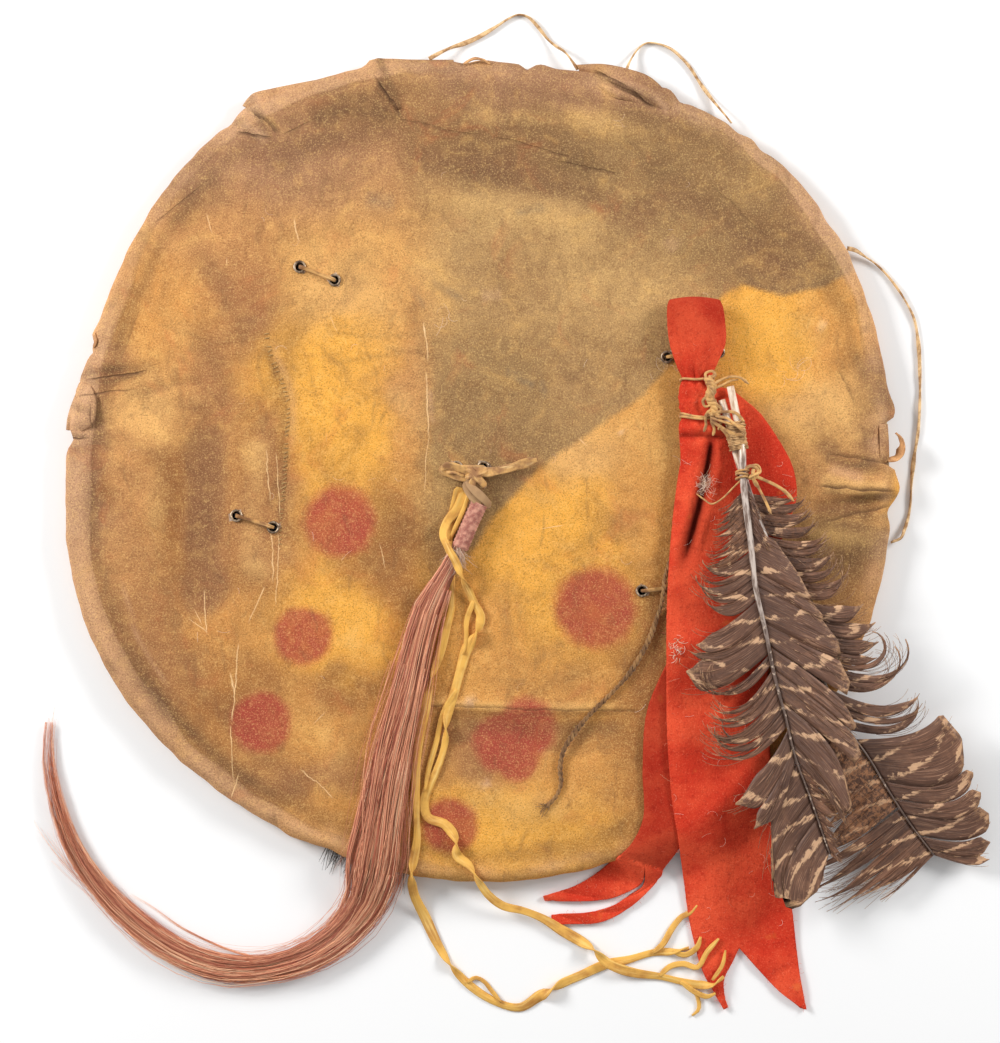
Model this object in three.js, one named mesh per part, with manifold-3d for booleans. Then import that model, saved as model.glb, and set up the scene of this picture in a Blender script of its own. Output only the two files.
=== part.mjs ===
// A round hide shield, lying on its back with its painted face up. Millimetres, +Z up, +Y towards
// the top of the painted face. A stiff rawhide disc wears a soft painted cover, drawn over its rim.
// Lace stitches hold the two together through small eyelets, and pendants are tied to the stitches:
// a lock of dyed horsehair, long thongs, a folded strip of red cloth and two large feathers.
import * as THREE from 'three';
import Module from 'manifold-3d';
import { mergeVertices } from 'three/addons/utils/BufferGeometryUtils.js';

const wasm = await Module();
wasm.setup();

// ---- driving dimensions ----
const DISC_RADIUS = 251;        // mean radius over the covered rim
const RIM_TOP = 13;             // height of the rim's front edge above the ground
const CROWN = 6;                // how much higher the centre of the face stands than the rim
const COVER_THICKNESS = 1.4;    // soft tanned skin
const MARGIN_THICKNESS = 2.9;   // the cover's turned-over margin, with its gathers
const MARGIN_WIDTH = 42;        // how far the margin reaches in behind the disc
const SLACK = 4;                // the most room between the disc and the slack cover
const GAP = 0.3;                // clearance between pieces that touch
const HOLE_RADIUS = 2.6;        // lace holes through cover and disc
const EYELET_RADIUS = 3.8;
const EYELET_HEIGHT = 1.2;
const LACE_RADIUS = 1;
const CLOTH_THICKNESS = 1.8;
const FRONT_TAIL_LIFT = 4.8;    // the front tail lies on the back tail and on the laces
const QUILL_RADIUS = 2;
const THONG_RADIUS = 1.6;       // the long flat thongs, as round stand-ins of about their section
const CORD_RADIUS = 1.15;
const RIM_THONG_RADIUS = 1.1;
const SECTORS = 40;             // facets round the disc

const GLUE = 1e-3;              // vertices closer than this are one
const rad = (degrees) => degrees * Math.PI / 180;
const bell = (t) => Math.exp(-t * t);
const smooth = (t) => { const c = Math.min(1, Math.max(0, t)); return c * c * (3 - 2 * c); };
const mix = (a, b, t) => a + (b - a) * t;

// ---- the form of the covered disc ----
// The rim is a little out of round: the hide shrank unevenly as it dried.
function rimRadius(angle) {
  return DISC_RADIUS + 4 * Math.cos(angle - rad(79)) + 1.2 * Math.cos(2 * angle - rad(33))
    + 3.7 * Math.cos(4 * angle - rad(145)) + 2.6 * Math.cos(5 * angle + rad(108));
}

// Height of the cover's face: a low crown with slack swells that die out towards the rim.
function faceHeight(x, y) {
  const ratio = Math.hypot(x, y) / rimRadius(Math.atan2(y, x));
  const swell = 0.9 * Math.sin(x / 38 + 0.8) * Math.cos(y / 47) + 0.6 * Math.sin((x - y) / 61);
  return RIM_TOP + CROWN * (1 - ratio ** 2) + swell * Math.max(0, 1 - ratio ** 6);
}

// Height of whatever lies on the face and hangs over the rim to the ground.
function drape(x, y) {
  const angle = Math.atan2(y, x);
  const beyond = Math.hypot(x, y) - rimRadius(angle) + 6;
  if (beyond <= 0) return faceHeight(x, y);
  const edge = rimRadius(angle) - 6;
  const fall = smooth(beyond / 34);
  return faceHeight(edge * Math.cos(angle), edge * Math.sin(angle)) * (1 - fall);
}

// ---- solids from rows of points ----
function fromFaces(points, faces) {
  const geometry = new THREE.BufferGeometry();
  geometry.setAttribute('position', new THREE.Float32BufferAttribute(points.flat(), 3));
  geometry.setIndex(faces.flat());
  return geometry;
}

// Merges a closed geometry's vertices and turns its faces outwards.
function closed(geometry) {
  const bare = new THREE.BufferGeometry();
  bare.setAttribute('position', geometry.getAttribute('position'));
  bare.setIndex(geometry.index);
  const merged = mergeVertices(bare, GLUE);
  const place = merged.getAttribute('position');
  const kept = [];
  let volume = 0;
  const corner = [new THREE.Vector3(), new THREE.Vector3(), new THREE.Vector3()];
  for (let i = 0; i < merged.index.count; i += 3) {
    const face = [0, 1, 2].map((k) => merged.index.getX(i + k));
    if (new Set(face).size < 3) continue;
    face.forEach((vertex, k) => corner[k].fromBufferAttribute(place, vertex));
    volume += corner[0].dot(corner[1].clone().cross(corner[2]));
    kept.push(face);
  }
  if (volume < 0) kept.forEach((face) => face.reverse());
  merged.setIndex(kept.flat());
  return merged;
}

function toManifold(geometry) {
  const whole = closed(geometry);
  return new wasm.Manifold(new wasm.Mesh({
    numProp: 3,
    vertProperties: new Float32Array(whole.getAttribute('position').array),
    triVerts: new Uint32Array(whole.index.array),
  }));
}

function fromManifold(solid) {
  const mesh = solid.getMesh();
  const geometry = new THREE.BufferGeometry();
  geometry.setAttribute('position', new THREE.BufferAttribute(mesh.vertProperties, 3));
  geometry.setIndex(new THREE.BufferAttribute(mesh.triVerts, 1));
  return geometry;
}

const joined = (...pieces) => fromManifold(
  pieces.map(toManifold).reduce((whole, piece) => whole.add(piece)));

// Rings of points round an axis, from a point on it to another, closed at both ends.
function ringed(rings, first, last) {
  const count = rings[0].length;
  const points = [first, ...rings.flat(), last];
  const at = (ring, i) => 1 + ring * count + (i % count);
  const faces = [];
  for (let i = 0; i < count; i += 1) {
    faces.push([0, at(0, i), at(0, i + 1)]);
    for (let ring = 0; ring + 1 < rings.length; ring += 1) {
      faces.push([at(ring, i), at(ring + 1, i), at(ring + 1, i + 1)]);
      faces.push([at(ring, i), at(ring + 1, i + 1), at(ring, i + 1)]);
    }
    faces.push([at(rings.length - 1, i), points.length - 1, at(rings.length - 1, i + 1)]);
  }
  return fromFaces(points, faces);
}

// A shell or plate round the disc's axis: profile(angle) lists [radius, height] from axis to axis.
function polar(profile) {
  const angles = Array.from({ length: SECTORS }, (_, i) => 2 * Math.PI * i / SECTORS);
  const profiles = angles.map(profile);
  const rings = profiles[0].slice(1, -1).map((_, ring) => angles.map((angle, i) => {
    const [radius, height] = profiles[i][ring + 1];
    return [radius * Math.cos(angle), radius * Math.sin(angle), height];
  }));
  return ringed(rings, [0, 0, profiles[0][0][1]], [0, 0, profiles[0].at(-1)[1]]);
}

// A plate between rows of [x, y, underside, top].
function plate(rows) {
  const across = rows[0].length;
  const count = rows.length * across;
  const flat = rows.flat();
  const points = [...flat.map(([x, y, , top]) => [x, y, top]), ...flat.map(([x, y, low]) => [x, y, low])];
  const at = (row, column) => row * across + column;
  const quads = [];
  for (let row = 0; row + 1 < rows.length; row += 1) {
    for (let column = 0; column + 1 < across; column += 1) {
      const quad = [at(row, column), at(row + 1, column), at(row + 1, column + 1), at(row, column + 1)];
      quads.push(quad, quad.map((vertex) => vertex + count).reverse());
    }
    for (const [column, turned] of [[0, true], [across - 1, false]]) {
      const side = [at(row, column), at(row + 1, column), at(row + 1, column) + count, at(row, column) + count];
      quads.push(turned ? side.reverse() : side);
    }
  }
  for (let column = 0; column + 1 < across; column += 1) {
    for (const [row, turned] of [[0, false], [rows.length - 1, true]]) {
      const end = [at(row, column), at(row, column + 1), at(row, column + 1) + count, at(row, column) + count];
      quads.push(turned ? end.reverse() : end);
    }
  }
  return fromFaces(points, quads.flatMap(([a, b, c, d]) => [[a, b, c], [a, c, d]]));
}

// A flattened rope of oval sections: each station is [x, y, centre height, half width, half height].
function oval(stations, sides) {
  const place = (i) => new THREE.Vector3(...stations[Math.min(stations.length - 1, Math.max(0, i))]);
  const rings = stations.map(([x, y, height, halfWidth, halfHeight], i) => {
    const along = place(i + 1).sub(place(i - 1)).setZ(0).normalize();
    return Array.from({ length: sides }, (_, k) => {
      const turn = 2 * Math.PI * k / sides;
      const out = halfWidth * Math.cos(turn);
      return [x + along.y * out, y - along.x * out, height + halfHeight * Math.sin(turn)];
    });
  });
  return ringed(rings, stations[0].slice(0, 3), stations.at(-1).slice(0, 3));
}

// A round cord along a route, as one smooth tube with flat ends.
function tube(route, radius, sides, step) {
  const curve = new THREE.CatmullRomCurve3(route.map((p) => new THREE.Vector3(...p)), false, 'centripetal');
  const section = new THREE.Shape(Array.from({ length: sides }, (_, i) => {
    const turn = 2 * Math.PI * i / sides;
    return new THREE.Vector2(radius * Math.cos(turn), radius * Math.sin(turn));
  }));
  return new THREE.ExtrudeGeometry(section, {
    steps: Math.round(curve.getLength() / step), extrudePath: curve, bevelEnabled: false,
  });
}

const group = new THREE.Group();
function add(name, geometry, material) {
  const mesh = new THREE.Mesh(closed(geometry), material);
  mesh.name = name;
  group.add(mesh);
  return mesh;
}

// ---- materials ----
const finish = (color, roughness, metalness = 0) => new THREE.MeshStandardMaterial({ color, roughness, metalness });
const rawhide = finish(0x9a7a4e, 0.75);
const buckskin = finish(0xc08d4e, 0.85);
const thongHide = finish(0xb98a45, 0.7);
const agedBrass = finish(0x6b5a44, 0.5, 0.8);
const redWool = finish(0xc8402a, 0.95);
const horsehair = finish(0xa8604c, 0.55);
const pinkThread = finish(0xcb937a, 0.8);
const featherBrown = finish(0x6b4b40, 0.6);
const twistedFibre = finish(0x7a4f2a, 0.9);

// ---- eyelets: where each lace stitch goes through ----
const STITCHES = {
  upper_left: [[-108, 124], [-87, 116]],
  lower_left: [[-146, -25], [-124, -32]],
  centre: [[-14, 4], [2, 4]],
  upper_right: [[112, 70], [143, 73]],
  lower_right: [[97, -70], [119, -68]],
};
const HOLES = Object.values(STITCHES).flat();

function pierced(geometry) {
  const drill = new THREE.CylinderGeometry(HOLE_RADIUS, HOLE_RADIUS, 4 * RIM_TOP, 8).rotateX(Math.PI / 2);
  return fromManifold(HOLES.reduce(
    (solid, [x, y]) => solid.subtract(toManifold(drill.clone().translate(x, y, 0))), toManifold(geometry)));
}

// ---- the cover: face, rounded rim and turned-over margin in one skin ----
const FACE_RATIOS = [0.2, 0.42, 0.64, 0.82, 0.95];
const onFace = (angle, ratio) => {
  const radius = ratio * rimRadius(angle);
  return [radius, faceHeight(radius * Math.cos(angle), radius * Math.sin(angle))];
};
const marginEdge = (angle) => rimRadius(angle) - MARGIN_WIDTH + 2 * Math.cos(15 * angle);

function coverProfile(angle) {
  const rim = rimRadius(angle);
  const top = faceHeight(0, 0);
  const face = FACE_RATIOS.map((ratio) => onFace(angle, ratio));
  const inside = face.map(([radius, height]) => [radius, height - COVER_THICKNESS]).reverse();
  return [
    [0, top], ...face,
    [rim - 5, 12.8], [rim - 1.5, 10.8], [rim, 7.4], [rim - 1.4, 3], [rim - 5, 0.4], [rim - 8, 0],
    [marginEdge(angle), 0], [marginEdge(angle), MARGIN_THICKNESS],
    [rim - 6, MARGIN_THICKNESS], [rim - 2.4, 5], [rim - 1.5, 7.8], [rim - 3.6, 10.9],
    ...inside, [0, top - COVER_THICKNESS],
  ];
}
add('painted_cover', pierced(polar(coverProfile)), buckskin);

// ---- the stiff disc: flat back, crowned front, rounded edge ----
const DISC_BACK = MARGIN_THICKNESS + GAP;

function discProfile(angle) {
  const rim = rimRadius(angle);
  const front = [0.93, 0.72, 0.4].map((ratio) => {
    const [radius] = onFace(angle, ratio);
    return [radius, RIM_TOP + CROWN * (1 - ratio ** 2) - COVER_THICKNESS - GAP - SLACK * (1 - ratio ** 6)];
  });
  return [
    [0, DISC_BACK], [rim - 9, DISC_BACK], [rim - 3.4, 5.2], [rim - 2.7, 7.8], [rim - 4.8, 10],
    ...front, [0, RIM_TOP + CROWN - COVER_THICKNESS - GAP - SLACK],
  ];
}
add('hide_disc', pierced(polar(discProfile)), rawhide);

// ---- the string that gathers the margin, behind the disc ----
const STRING_RADIUS = 1.1;
{
  const sides = 4;
  const around = SECTORS;
  const points = [];
  const faces = [];
  for (let i = 0; i < around; i += 1) {
    const angle = 2 * Math.PI * i / around;
    const radius = rimRadius(angle) - MARGIN_WIDTH - 2 - GAP - 1.6 * STRING_RADIUS;
    for (let k = 0; k < sides; k += 1) {
      const turn = 2 * Math.PI * k / sides;
      const out = radius + STRING_RADIUS * Math.cos(turn);
      points.push([out * Math.cos(angle), out * Math.sin(angle), 1.6 + STRING_RADIUS * Math.sin(turn)]);
      const next = (i + 1) % around;
      const [a, b] = [i * sides + k, i * sides + (k + 1) % sides];
      const [c, d] = [next * sides + (k + 1) % sides, next * sides + k];
      faces.push([a, b, c], [a, c, d]);
    }
  }
  add('gathering_string', fromFaces(points, faces), thongHide);
}

// ---- eyelets and lace stitches ----
function eyelet([x, y]) {
  const low = faceHeight(x, y) + GAP;
  const high = low + EYELET_HEIGHT;
  const profile = [[HOLE_RADIUS, low], [EYELET_RADIUS, low], [EYELET_RADIUS - 0.6, high], [HOLE_RADIUS, high],
    [HOLE_RADIUS, low]].map(([radius, height]) => new THREE.Vector2(radius, height));
  return new THREE.LatheGeometry(profile, 8).rotateX(Math.PI / 2).translate(x, y, 0);
}

// A staple-shaped stitch: in at one hole, across the front, out at the other, its ends turned in behind.
function stitch([a, b], radius) {
  const start = new THREE.Vector2(...a);
  const end = new THREE.Vector2(...b);
  const span = start.distanceTo(end);
  const behind = DISC_BACK - 2 * GAP - radius;
  const at = (along, height) => {
    const spot = start.clone().lerp(end, along / span);
    return [spot.x, spot.y, height];
  };
  const over = (along) => {
    const [x, y] = at(along, 0);
    return faceHeight(x, y);
  };
  const lift = GAP + EYELET_HEIGHT + 0.4 + radius;
  const tail = 0.36 * span;
  const half = [[tail, behind], [3, behind], [0.4, behind + 2.2], [0, 9]];
  const front = [[0.1, over(0) + 0.5 * lift], [1.2, over(1) + lift + 0.3], [4.2, over(4) + lift]];
  const rise = [...half, ...front];
  const route = [...rise.map(([along, height]) => at(along, height)),
    at(span / 2, over(span / 2) + 0.7 + radius),
    ...rise.reverse().map(([along, height]) => at(span - along, height))];
  return tube(route, radius, 5, 4);
}

for (const [name, pair] of Object.entries(STITCHES)) {
  pair.forEach((place, i) => add(`eyelet_${name}_${i + 1}`, eyelet(place), agedBrass));
  if (name !== 'centre') add(`lace_${name}`, stitch(pair, LACE_RADIUS), thongHide);
}

// ---- centre tie: one thong through the middle eyelets, knotted over the hair ----
const lump = (x, y, height, size) => new THREE.SphereGeometry(1, 6, 4)
  .scale(...size).translate(x, y, drape(x, y) + height);
const rest = (points) => points.map(([x, y, height]) => [x, y, drape(x, y) + height]);

add('centre_tie', joined(
  stitch(STITCHES.centre, LACE_RADIUS),
  lump(-5, 1, 4.6, [5.4, 4.6, 3.6]),
  tube(rest([[-5, 0, 6], [6, 1, 5.6], [18, 3, 4.6], [28, 6, 4], [37, 9, 3.4]]), 1.5, 5, 7),
  tube(rest([[-5, 0, 6], [-13, 2, 6.4], [-21, 4, 5.4], [-22, 0, 3.6], [-14, -4, 3.8], [-7, -4, 4.6]]), 1.3, 5, 5),
), thongHide);

// ---- lock of horsehair, bound at its head with thread ----
// Stations: [x, y, lift of its underside, half width, half height]
const HAIR = [
  [2.5, -10, 4.6, 3, 2.6], [0, -17, 4.2, 3.4, 3], [-5, -28, 4, 3.6, 3], [-11, -42, 4.4, 3.6, 2.8],
  [-15, -50, 4.4, 4, 2.6], [-20, -60, 4, 5, 2.6], [-29, -76, 1.6, 7, 3], [-36, -100, 0.6, 8, 3.4],
  [-44, -135, 0.6, 9, 3.6], [-52, -170, 0.6, 10, 3.8], [-57, -205, 0.6, 13, 4], [-61, -232, 0.6, 15, 4],
  [-67, -256, 0.6, 13, 4], [-80, -274, 0.5, 10, 4], [-102, -290, 0.5, 8, 4], [-130, -298, 0.5, 7, 4],
  [-155, -298, 0.5, 8, 4], [-180, -290, 0.5, 8, 4], [-205, -274, 0.5, 8, 4], [-228, -252, 0.5, 7, 3.6],
  [-246, -226, 0.5, 6, 3.2], [-256, -198, 0.5, 5, 2.8], [-261, -170, 0.5, 4, 2.2], [-260, -144, 0.5, 2, 1.4],
];
const onCover = (stations) => stations.map(([x, y, lift, halfWidth, halfHeight]) => (
  [x, y, drape(x, y) + lift + halfHeight, halfWidth, halfHeight]));
add('hair_lock', oval(onCover(HAIR), 8), horsehair);

const BINDING_WALL = 1.1;
{
  const grown = (by) => onCover(HAIR.slice(0, 5)).map(([x, y, height, halfWidth, halfHeight]) => (
    [x, y, height, halfWidth + by, halfHeight + by]));
  const sleeve = toManifold(oval(grown(GAP + BINDING_WALL).slice(1, 4), 12));
  add('hair_binding', fromManifold(sleeve.subtract(toManifold(oval(grown(GAP), 12)))), pinkThread);
}

// ---- the two long thongs that hang from the centre tie ----
const THONG_LEFT = rest([
  [-12, -8, 4.4], [-14, -17, 2.4], [-17, -27, 2.1], [-19, -37, 2.1], [-19, -47, 2.1], [-18, -58, 2.1],
  [-17, -68, 2.1], [-17, -80, 2.1], [-20, -92, 2.1], [-24, -108, 2.1], [-30, -124, 2.1], [-33, -140, 2.1],
  [-36, -155, 2.1], [-38, -172, 2.1], [-38.5, -190, 2.1], [-38, -204, 2.1], [-38, -220, 2.1],
  [-41, -238, 2.1], [-40, -252, 2.1], [-33, -268, 2.1], [-26, -283, 2.1], [-18, -296, 2.1], [-7, -308, 2.1],
  [8, -318, 2], [24, -322, 2], [36, -315, 2], [48, -308, 2], [62, -302, 2], [76, -296, 2], [90, -293, 2],
  [104, -289, 2], [116, -288, 2], [126, -286, 2],
]);
const THONG_RIGHT = rest([
  [-9, -11, 6], [-13, -21, 5.8], [-19, -28, 5.8], [-22, -36, 9], [-19, -44, 12.4], [-15, -51, 12.8],
  [-11.5, -59, 10.6], [-7.5, -68, 5], [-3, -78, 2.1], [0.5, -85, 2.1], [-2, -94, 2.1], [-8, -105, 2.1],
  [-11.5, -117, 2.1], [-15, -130, 2.1], [-20, -147, 2.1], [-21, -161, 2.1], [-25, -175, 2.1],
  [-31, -188, 2.1], [-33.5, -198, 2.1], [-31, -206, 2.1], [-21, -210, 2.1], [-14.5, -219, 2.1],
  [-13.5, -229, 2.1], [-6, -235, 2.1], [-1, -244, 2.1], [5, -253, 2.1], [14, -260, 3], [26, -263, 4.2],
  [38, -268, 4.6], [49, -275, 3.6], [61, -282, 2.6], [69, -287, 4.6], [76, -294, 5.8], [84, -298, 5.8],
  [94, -301, 3.2], [108, -303, 2], [121, -306, 2.4], [133, -308, 4.4], [140, -308, 4.6], [147, -303, 4.6],
]);
const THONG_STEP = 16;
add('long_thong_left', tube(THONG_LEFT, THONG_RADIUS, 8, THONG_STEP), thongHide);
add('long_thong_right', tube(THONG_RIGHT, THONG_RADIUS, 8, THONG_STEP), thongHide);

// ---- red cloth: a strip doubled over into a pouch-like head, tied at its neck, its two ends hanging ----
// The head and neck as oval stations: [x, y, lift of its underside, half width, half height]
const CLOTH_HEAD = [
  [128, 103, 3.4, 13, 2.2], [128, 101, 3, 15.4, 4.6], [128, 92, 4.6, 16, 5.4], [128, 78, 4.6, 15.6, 5],
  [129, 64, 4.4, 11.4, 4.4], [129.5, 56, 3.2, 8.8, 3.4], [130, 48, 2.4, 10.4, 4], [130.5, 41, 2.4, 11, 4],
  [131.5, 34, 3.2, 10.4, 3.2], [132, 27, 2, 12, 3.8], [133, 18, 2, 12, 3],
];
// The edges of a tail, row by row: [left x, left y, right x, right y, lift of its underside]
function tail(rows, columns) {
  return plate(rows.map(([leftX, leftY, rightX, rightY, lift]) => (
    Array.from({ length: columns + 1 }, (_, column) => {
      const x = mix(leftX, rightX, column / columns);
      const y = mix(leftY, rightY, column / columns);
      const low = drape(x, y) + lift;
      return [x, y, low, low + CLOTH_THICKNESS];
    }))));
}
const SIDE_FOLD = [
  [147, 44, 154, 46.5, FRONT_TAIL_LIFT], [146.5, 34, 167, 36, FRONT_TAIL_LIFT],
  [146, 24, 175, 25, FRONT_TAIL_LIFT], [146, 8, 185, 8, FRONT_TAIL_LIFT],
];
const FRONT_TAIL = [
  [121, 24, 150, 24, FRONT_TAIL_LIFT], [120, 10, 184, 10, FRONT_TAIL_LIFT], [118, -2, 189, -2, FRONT_TAIL_LIFT],
  [116, -20, 188, -14, FRONT_TAIL_LIFT], [113, -52, 178, -44, FRONT_TAIL_LIFT],
  [111.5, -86, 173, -86, FRONT_TAIL_LIFT], [111.5, -122, 172, -122, FRONT_TAIL_LIFT],
  [112, -158, 173, -158, 4.2], [115, -196, 177, -196, 3.4], [119, -220, 181, -220, 2.4],
  [123, -246, 186, -246, 1.4], [126, -268, 189, -268, 0.6], [130, -286, 191, -286, 0.5],
];
const FRONT_LEFT_PRONG = [
  [129.5, -284, 158, -284, 0.5], [132, -294, 152, -296, 0.5], [136, -304, 147.5, -304, 0.5],
  [142, -313, 147.5, -312, 0.5], [147, -325, 149, -324, 0.5],
];
const FRONT_RIGHT_PRONG = [
  [156, -284, 190.7, -284, 0.5], [168, -298, 193, -302, 0.5], [182, -313, 195.5, -316, 0.5],
  [194, -322, 196.5, -323, 0.5],
];
const BACK_TAIL = [
  [132, 24, 144, 24, 2.4], [130, 0, 152, 0, 0.6], [128, -50, 162, -50, 0.6], [124, -80, 162, -84, 0.6],
  [114, -108, 160, -118, 0.6],
  [101, -140, 148, -154, 0.6], [97.5, -175, 136, -186, 0.6], [98, -206, 126, -212, 0.6],
  [91, -221, 118, -225, 0.5], [80, -232, 108, -242, 0.5],
];
const BACK_UPPER_PRONG = [
  [82, -230, 98.5, -246, 0.5], [70, -241, 86, -254, 0.5], [56, -249, 70, -258, 0.5], [38, -255, 39, -257, 0.5],
];
const BACK_LOWER_PRONG = [
  [97, -245, 109, -240, 0.5], [90, -254.5, 99, -253, 0.5], [73, -263, 77, -269, 0.5],
  [56, -265.5, 56, -271.5, 0.5], [43, -266, 43, -272, 0.5],
];
add('red_cloth', joined(
  oval(onCover(CLOTH_HEAD), 10),
  tail(SIDE_FOLD, 1), tail(FRONT_TAIL, 3), tail(FRONT_LEFT_PRONG, 1), tail(FRONT_RIGHT_PRONG, 1),
  tail(BACK_TAIL, 2), tail(BACK_UPPER_PRONG, 1), tail(BACK_LOWER_PRONG, 1),
), redWool);

// ---- neck tie: two wraps round the cloth's neck and a chain of knots between them ----
const TIE_RADIUS = 0.8;
const WRAP_SIDES = 4;
const WRAP_STEPS = 10;
function wrap([x, y, lift, halfWidth, halfHeight]) {
  const reach = TIE_RADIUS + GAP + 0.5;
  const ring = new THREE.TorusGeometry(1, 1, WRAP_SIDES, WRAP_STEPS);
  const place = ring.getAttribute('position');
  const height = drape(x, y) + lift + halfHeight;
  for (let i = 0; i < place.count; i += 1) {
    const around = 2 * Math.PI * (i % (WRAP_STEPS + 1)) / WRAP_STEPS;
    const about = 2 * Math.PI * Math.floor(i / (WRAP_STEPS + 1)) / WRAP_SIDES;
    const swell = TIE_RADIUS * Math.cos(about);
    place.setXYZ(i, x + (halfWidth + reach + swell) * Math.cos(around), y + TIE_RADIUS * Math.sin(about),
      height + (halfHeight + reach + swell) * Math.sin(around));
  }
  return ring;
}
const NECK_UPPER = CLOTH_HEAD[5];
const NECK_LOWER = CLOTH_HEAD[8];
const CHAIN = rest([[135.5, 56.2, 12], [138.5, 50, 12.4], [137, 45, 12.2], [140, 39, 12], [138.6, 34.2, 10.6]]);
add('neck_tie', joined(
  wrap(NECK_UPPER), wrap(NECK_LOWER), tube(CHAIN, 1.5, 6, 3.4),
  lump(138.5, 48, 12.6, [2.6, 2.8, 2]), lump(139, 36, 11.6, [3, 2.8, 2.2]),
), thongHide);

// ---- feathers ----
// Rachis stations: [x, y, height above the cloth's rest level at the neck]
const NECK_LEVEL = drape(155, 0) + 1;
const LONG_RACHIS = [
  [149, 52, 13.4], [152, 38, 13], [155.2, 22, 12.9], [156, 12, 15.2], [156.2, 2, 16], [157.5, -14, 16.4], [161, -41, 16],
  [164, -68, 15.4], [170, -94, 14.6], [175, -119, 13.8], [182, -145, 12.4], [188, -169, 10.4],
  [197, -193, 8], [209, -227, 4],
];
const SHORT_RACHIS = [
  [144, 44, 11.4], [147, 34, 11.4], [150.6, 22, 11], [152.8, 12, 10.8], [156, 2, 10.8], [161, -14, 11], [166, -28, 10.8],
  [177, -55, 10.2], [194, -96, 8.6], [211, -137, 6.4], [220, -153, 4.6], [232, -169, 2.4],
  [245, -190, -0.6], [259, -211, -4.6], [273, -229, -8.4],
];
// How far the vane reaches on each side: [length along the rachis, left, right]
const LONG_VANE = [
  [66, 5, 6], [86, 16, 18], [110, 26, 28], [132, 36, 36], [152, 46, 38], [174, 36, 36], [196, 34, 30],
  [214, 40, 26], [234, 34, 22], [254, 22, 16], [272, 16, 14], [284, 9, 8], [290, 3, 3],
];
const SHORT_VANE = [
  [66, 4, 12], [92, 8, 26], [120, 10, 36], [150, 14, 40], [176, 20, 42], [204, 24, 46], [232, 28, 47],
  [262, 30, 48], [284, 30, 44], [302, 20, 26], [312, 8, 10],
];
const VANE_THICKNESS = 1.2;
const NOTCH = 0.82;             // worn barbs leave the vane's edge notched

function curveOf(rachis) {
  return new THREE.CatmullRomCurve3(
    rachis.map(([x, y, level]) => new THREE.Vector3(x, y, NECK_LEVEL + level)), false, 'centripetal');
}
function atLength(vane, length, side) {
  const next = Math.max(1, vane.findIndex(([reach]) => reach >= length));
  const [from, to] = [vane[next - 1], vane[next]];
  return mix(from[side], to[side], (length - from[0]) / (to[0] - from[0]));
}
const quill = (curve, radius) => tube(curve.getSpacedPoints(24).map((p) => p.toArray()), radius, 6, 24);
function feather(rachis, vane) {
  const curve = curveOf(rachis);
  const total = curve.getLength();
  const [first, last] = [vane[0][0], vane.at(-1)[0]];
  const steps = 14;
  const rows = Array.from({ length: steps + 1 }, (_, i) => {
    const length = mix(first, last, i / steps);
    const spot = curve.getPointAt(Math.min(1, length / total));
    const along = curve.getTangentAt(Math.min(1, length / total)).setZ(0).normalize();
    const worn = i % 2 && i < steps ? NOTCH : 1;
    const left = worn * atLength(vane, length, 1);
    const right = worn * atLength(vane, length, 2);
    // to the feather's right, seen from above and pointing down its length
    const edge = (reach, droop) => {
      const height = spot.z - droop;
      return [spot.x - along.y * reach, spot.y + along.x * reach, height - VANE_THICKNESS / 2,
        height + VANE_THICKNESS / 2];
    };
    return [edge(-left, 1), edge(0, 0), edge(right, 1)];
  });
  return joined(quill(curve, QUILL_RADIUS), plate(rows));
}
add('long_feather', feather(LONG_RACHIS, LONG_VANE), featherBrown);
add('short_feather', feather(SHORT_RACHIS, SHORT_VANE), featherBrown);

// ---- thread binding round both quills, and the thong knotted below it ----
{
  const middle = ([x, y, level], [otherX, , otherLevel]) => (
    [(x + otherX) / 2, y, NECK_LEVEL + (level + otherLevel) / 2, 5.6, 3.8]);
  const [long, short] = [LONG_RACHIS[2], SHORT_RACHIS[2]];
  const centre = middle(long, short);
  const stations = [8, 7, 0, -7, -8].map((along) => {
    const [x, y, height, halfWidth, halfHeight] = centre;
    const tight = Math.abs(along) > 7 ? 0.8 : 1;
    return [x - 0.12 * along, y + along, height, halfWidth * tight, halfHeight * tight];
  });
  const sleeve = toManifold(oval(stations, 12));
  const bores = [LONG_RACHIS, SHORT_RACHIS].map((rachis) => toManifold(
    quill(curveOf(rachis), QUILL_RADIUS + GAP)));
  add('quill_binding', fromManifold(bores.reduce((solid, bore) => solid.subtract(bore), sleeve)), thongHide);
}
{
  const [x, y] = LONG_RACHIS[4];
  const high = NECK_LEVEL + LONG_RACHIS[4][2];
  const low = NECK_LEVEL + SHORT_RACHIS[4][2];
  const station = [x, y - 1, 0, QUILL_RADIUS + 0.2, (high - low) / 2 + QUILL_RADIUS + 0.2];
  station[2] = (high + low) / 2 - station[4] - drape(x, y - 1);
  const level = (points) => points.map(([px, py, pz]) => [px, py, NECK_LEVEL + pz]);
  add('quill_knot', joined(
    wrap(station),
    new THREE.SphereGeometry(1, 6, 4).scale(3.2, 3, 2.4).translate(x + 5.8, y - 1, high),
    tube(level([[x + 6, y - 2, 15.8], [168, -2, 14.6], [176, -7, 13.6], [185, -15, 12.6]]), 0.8, 6, 4),
  ), thongHide);
}

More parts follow.
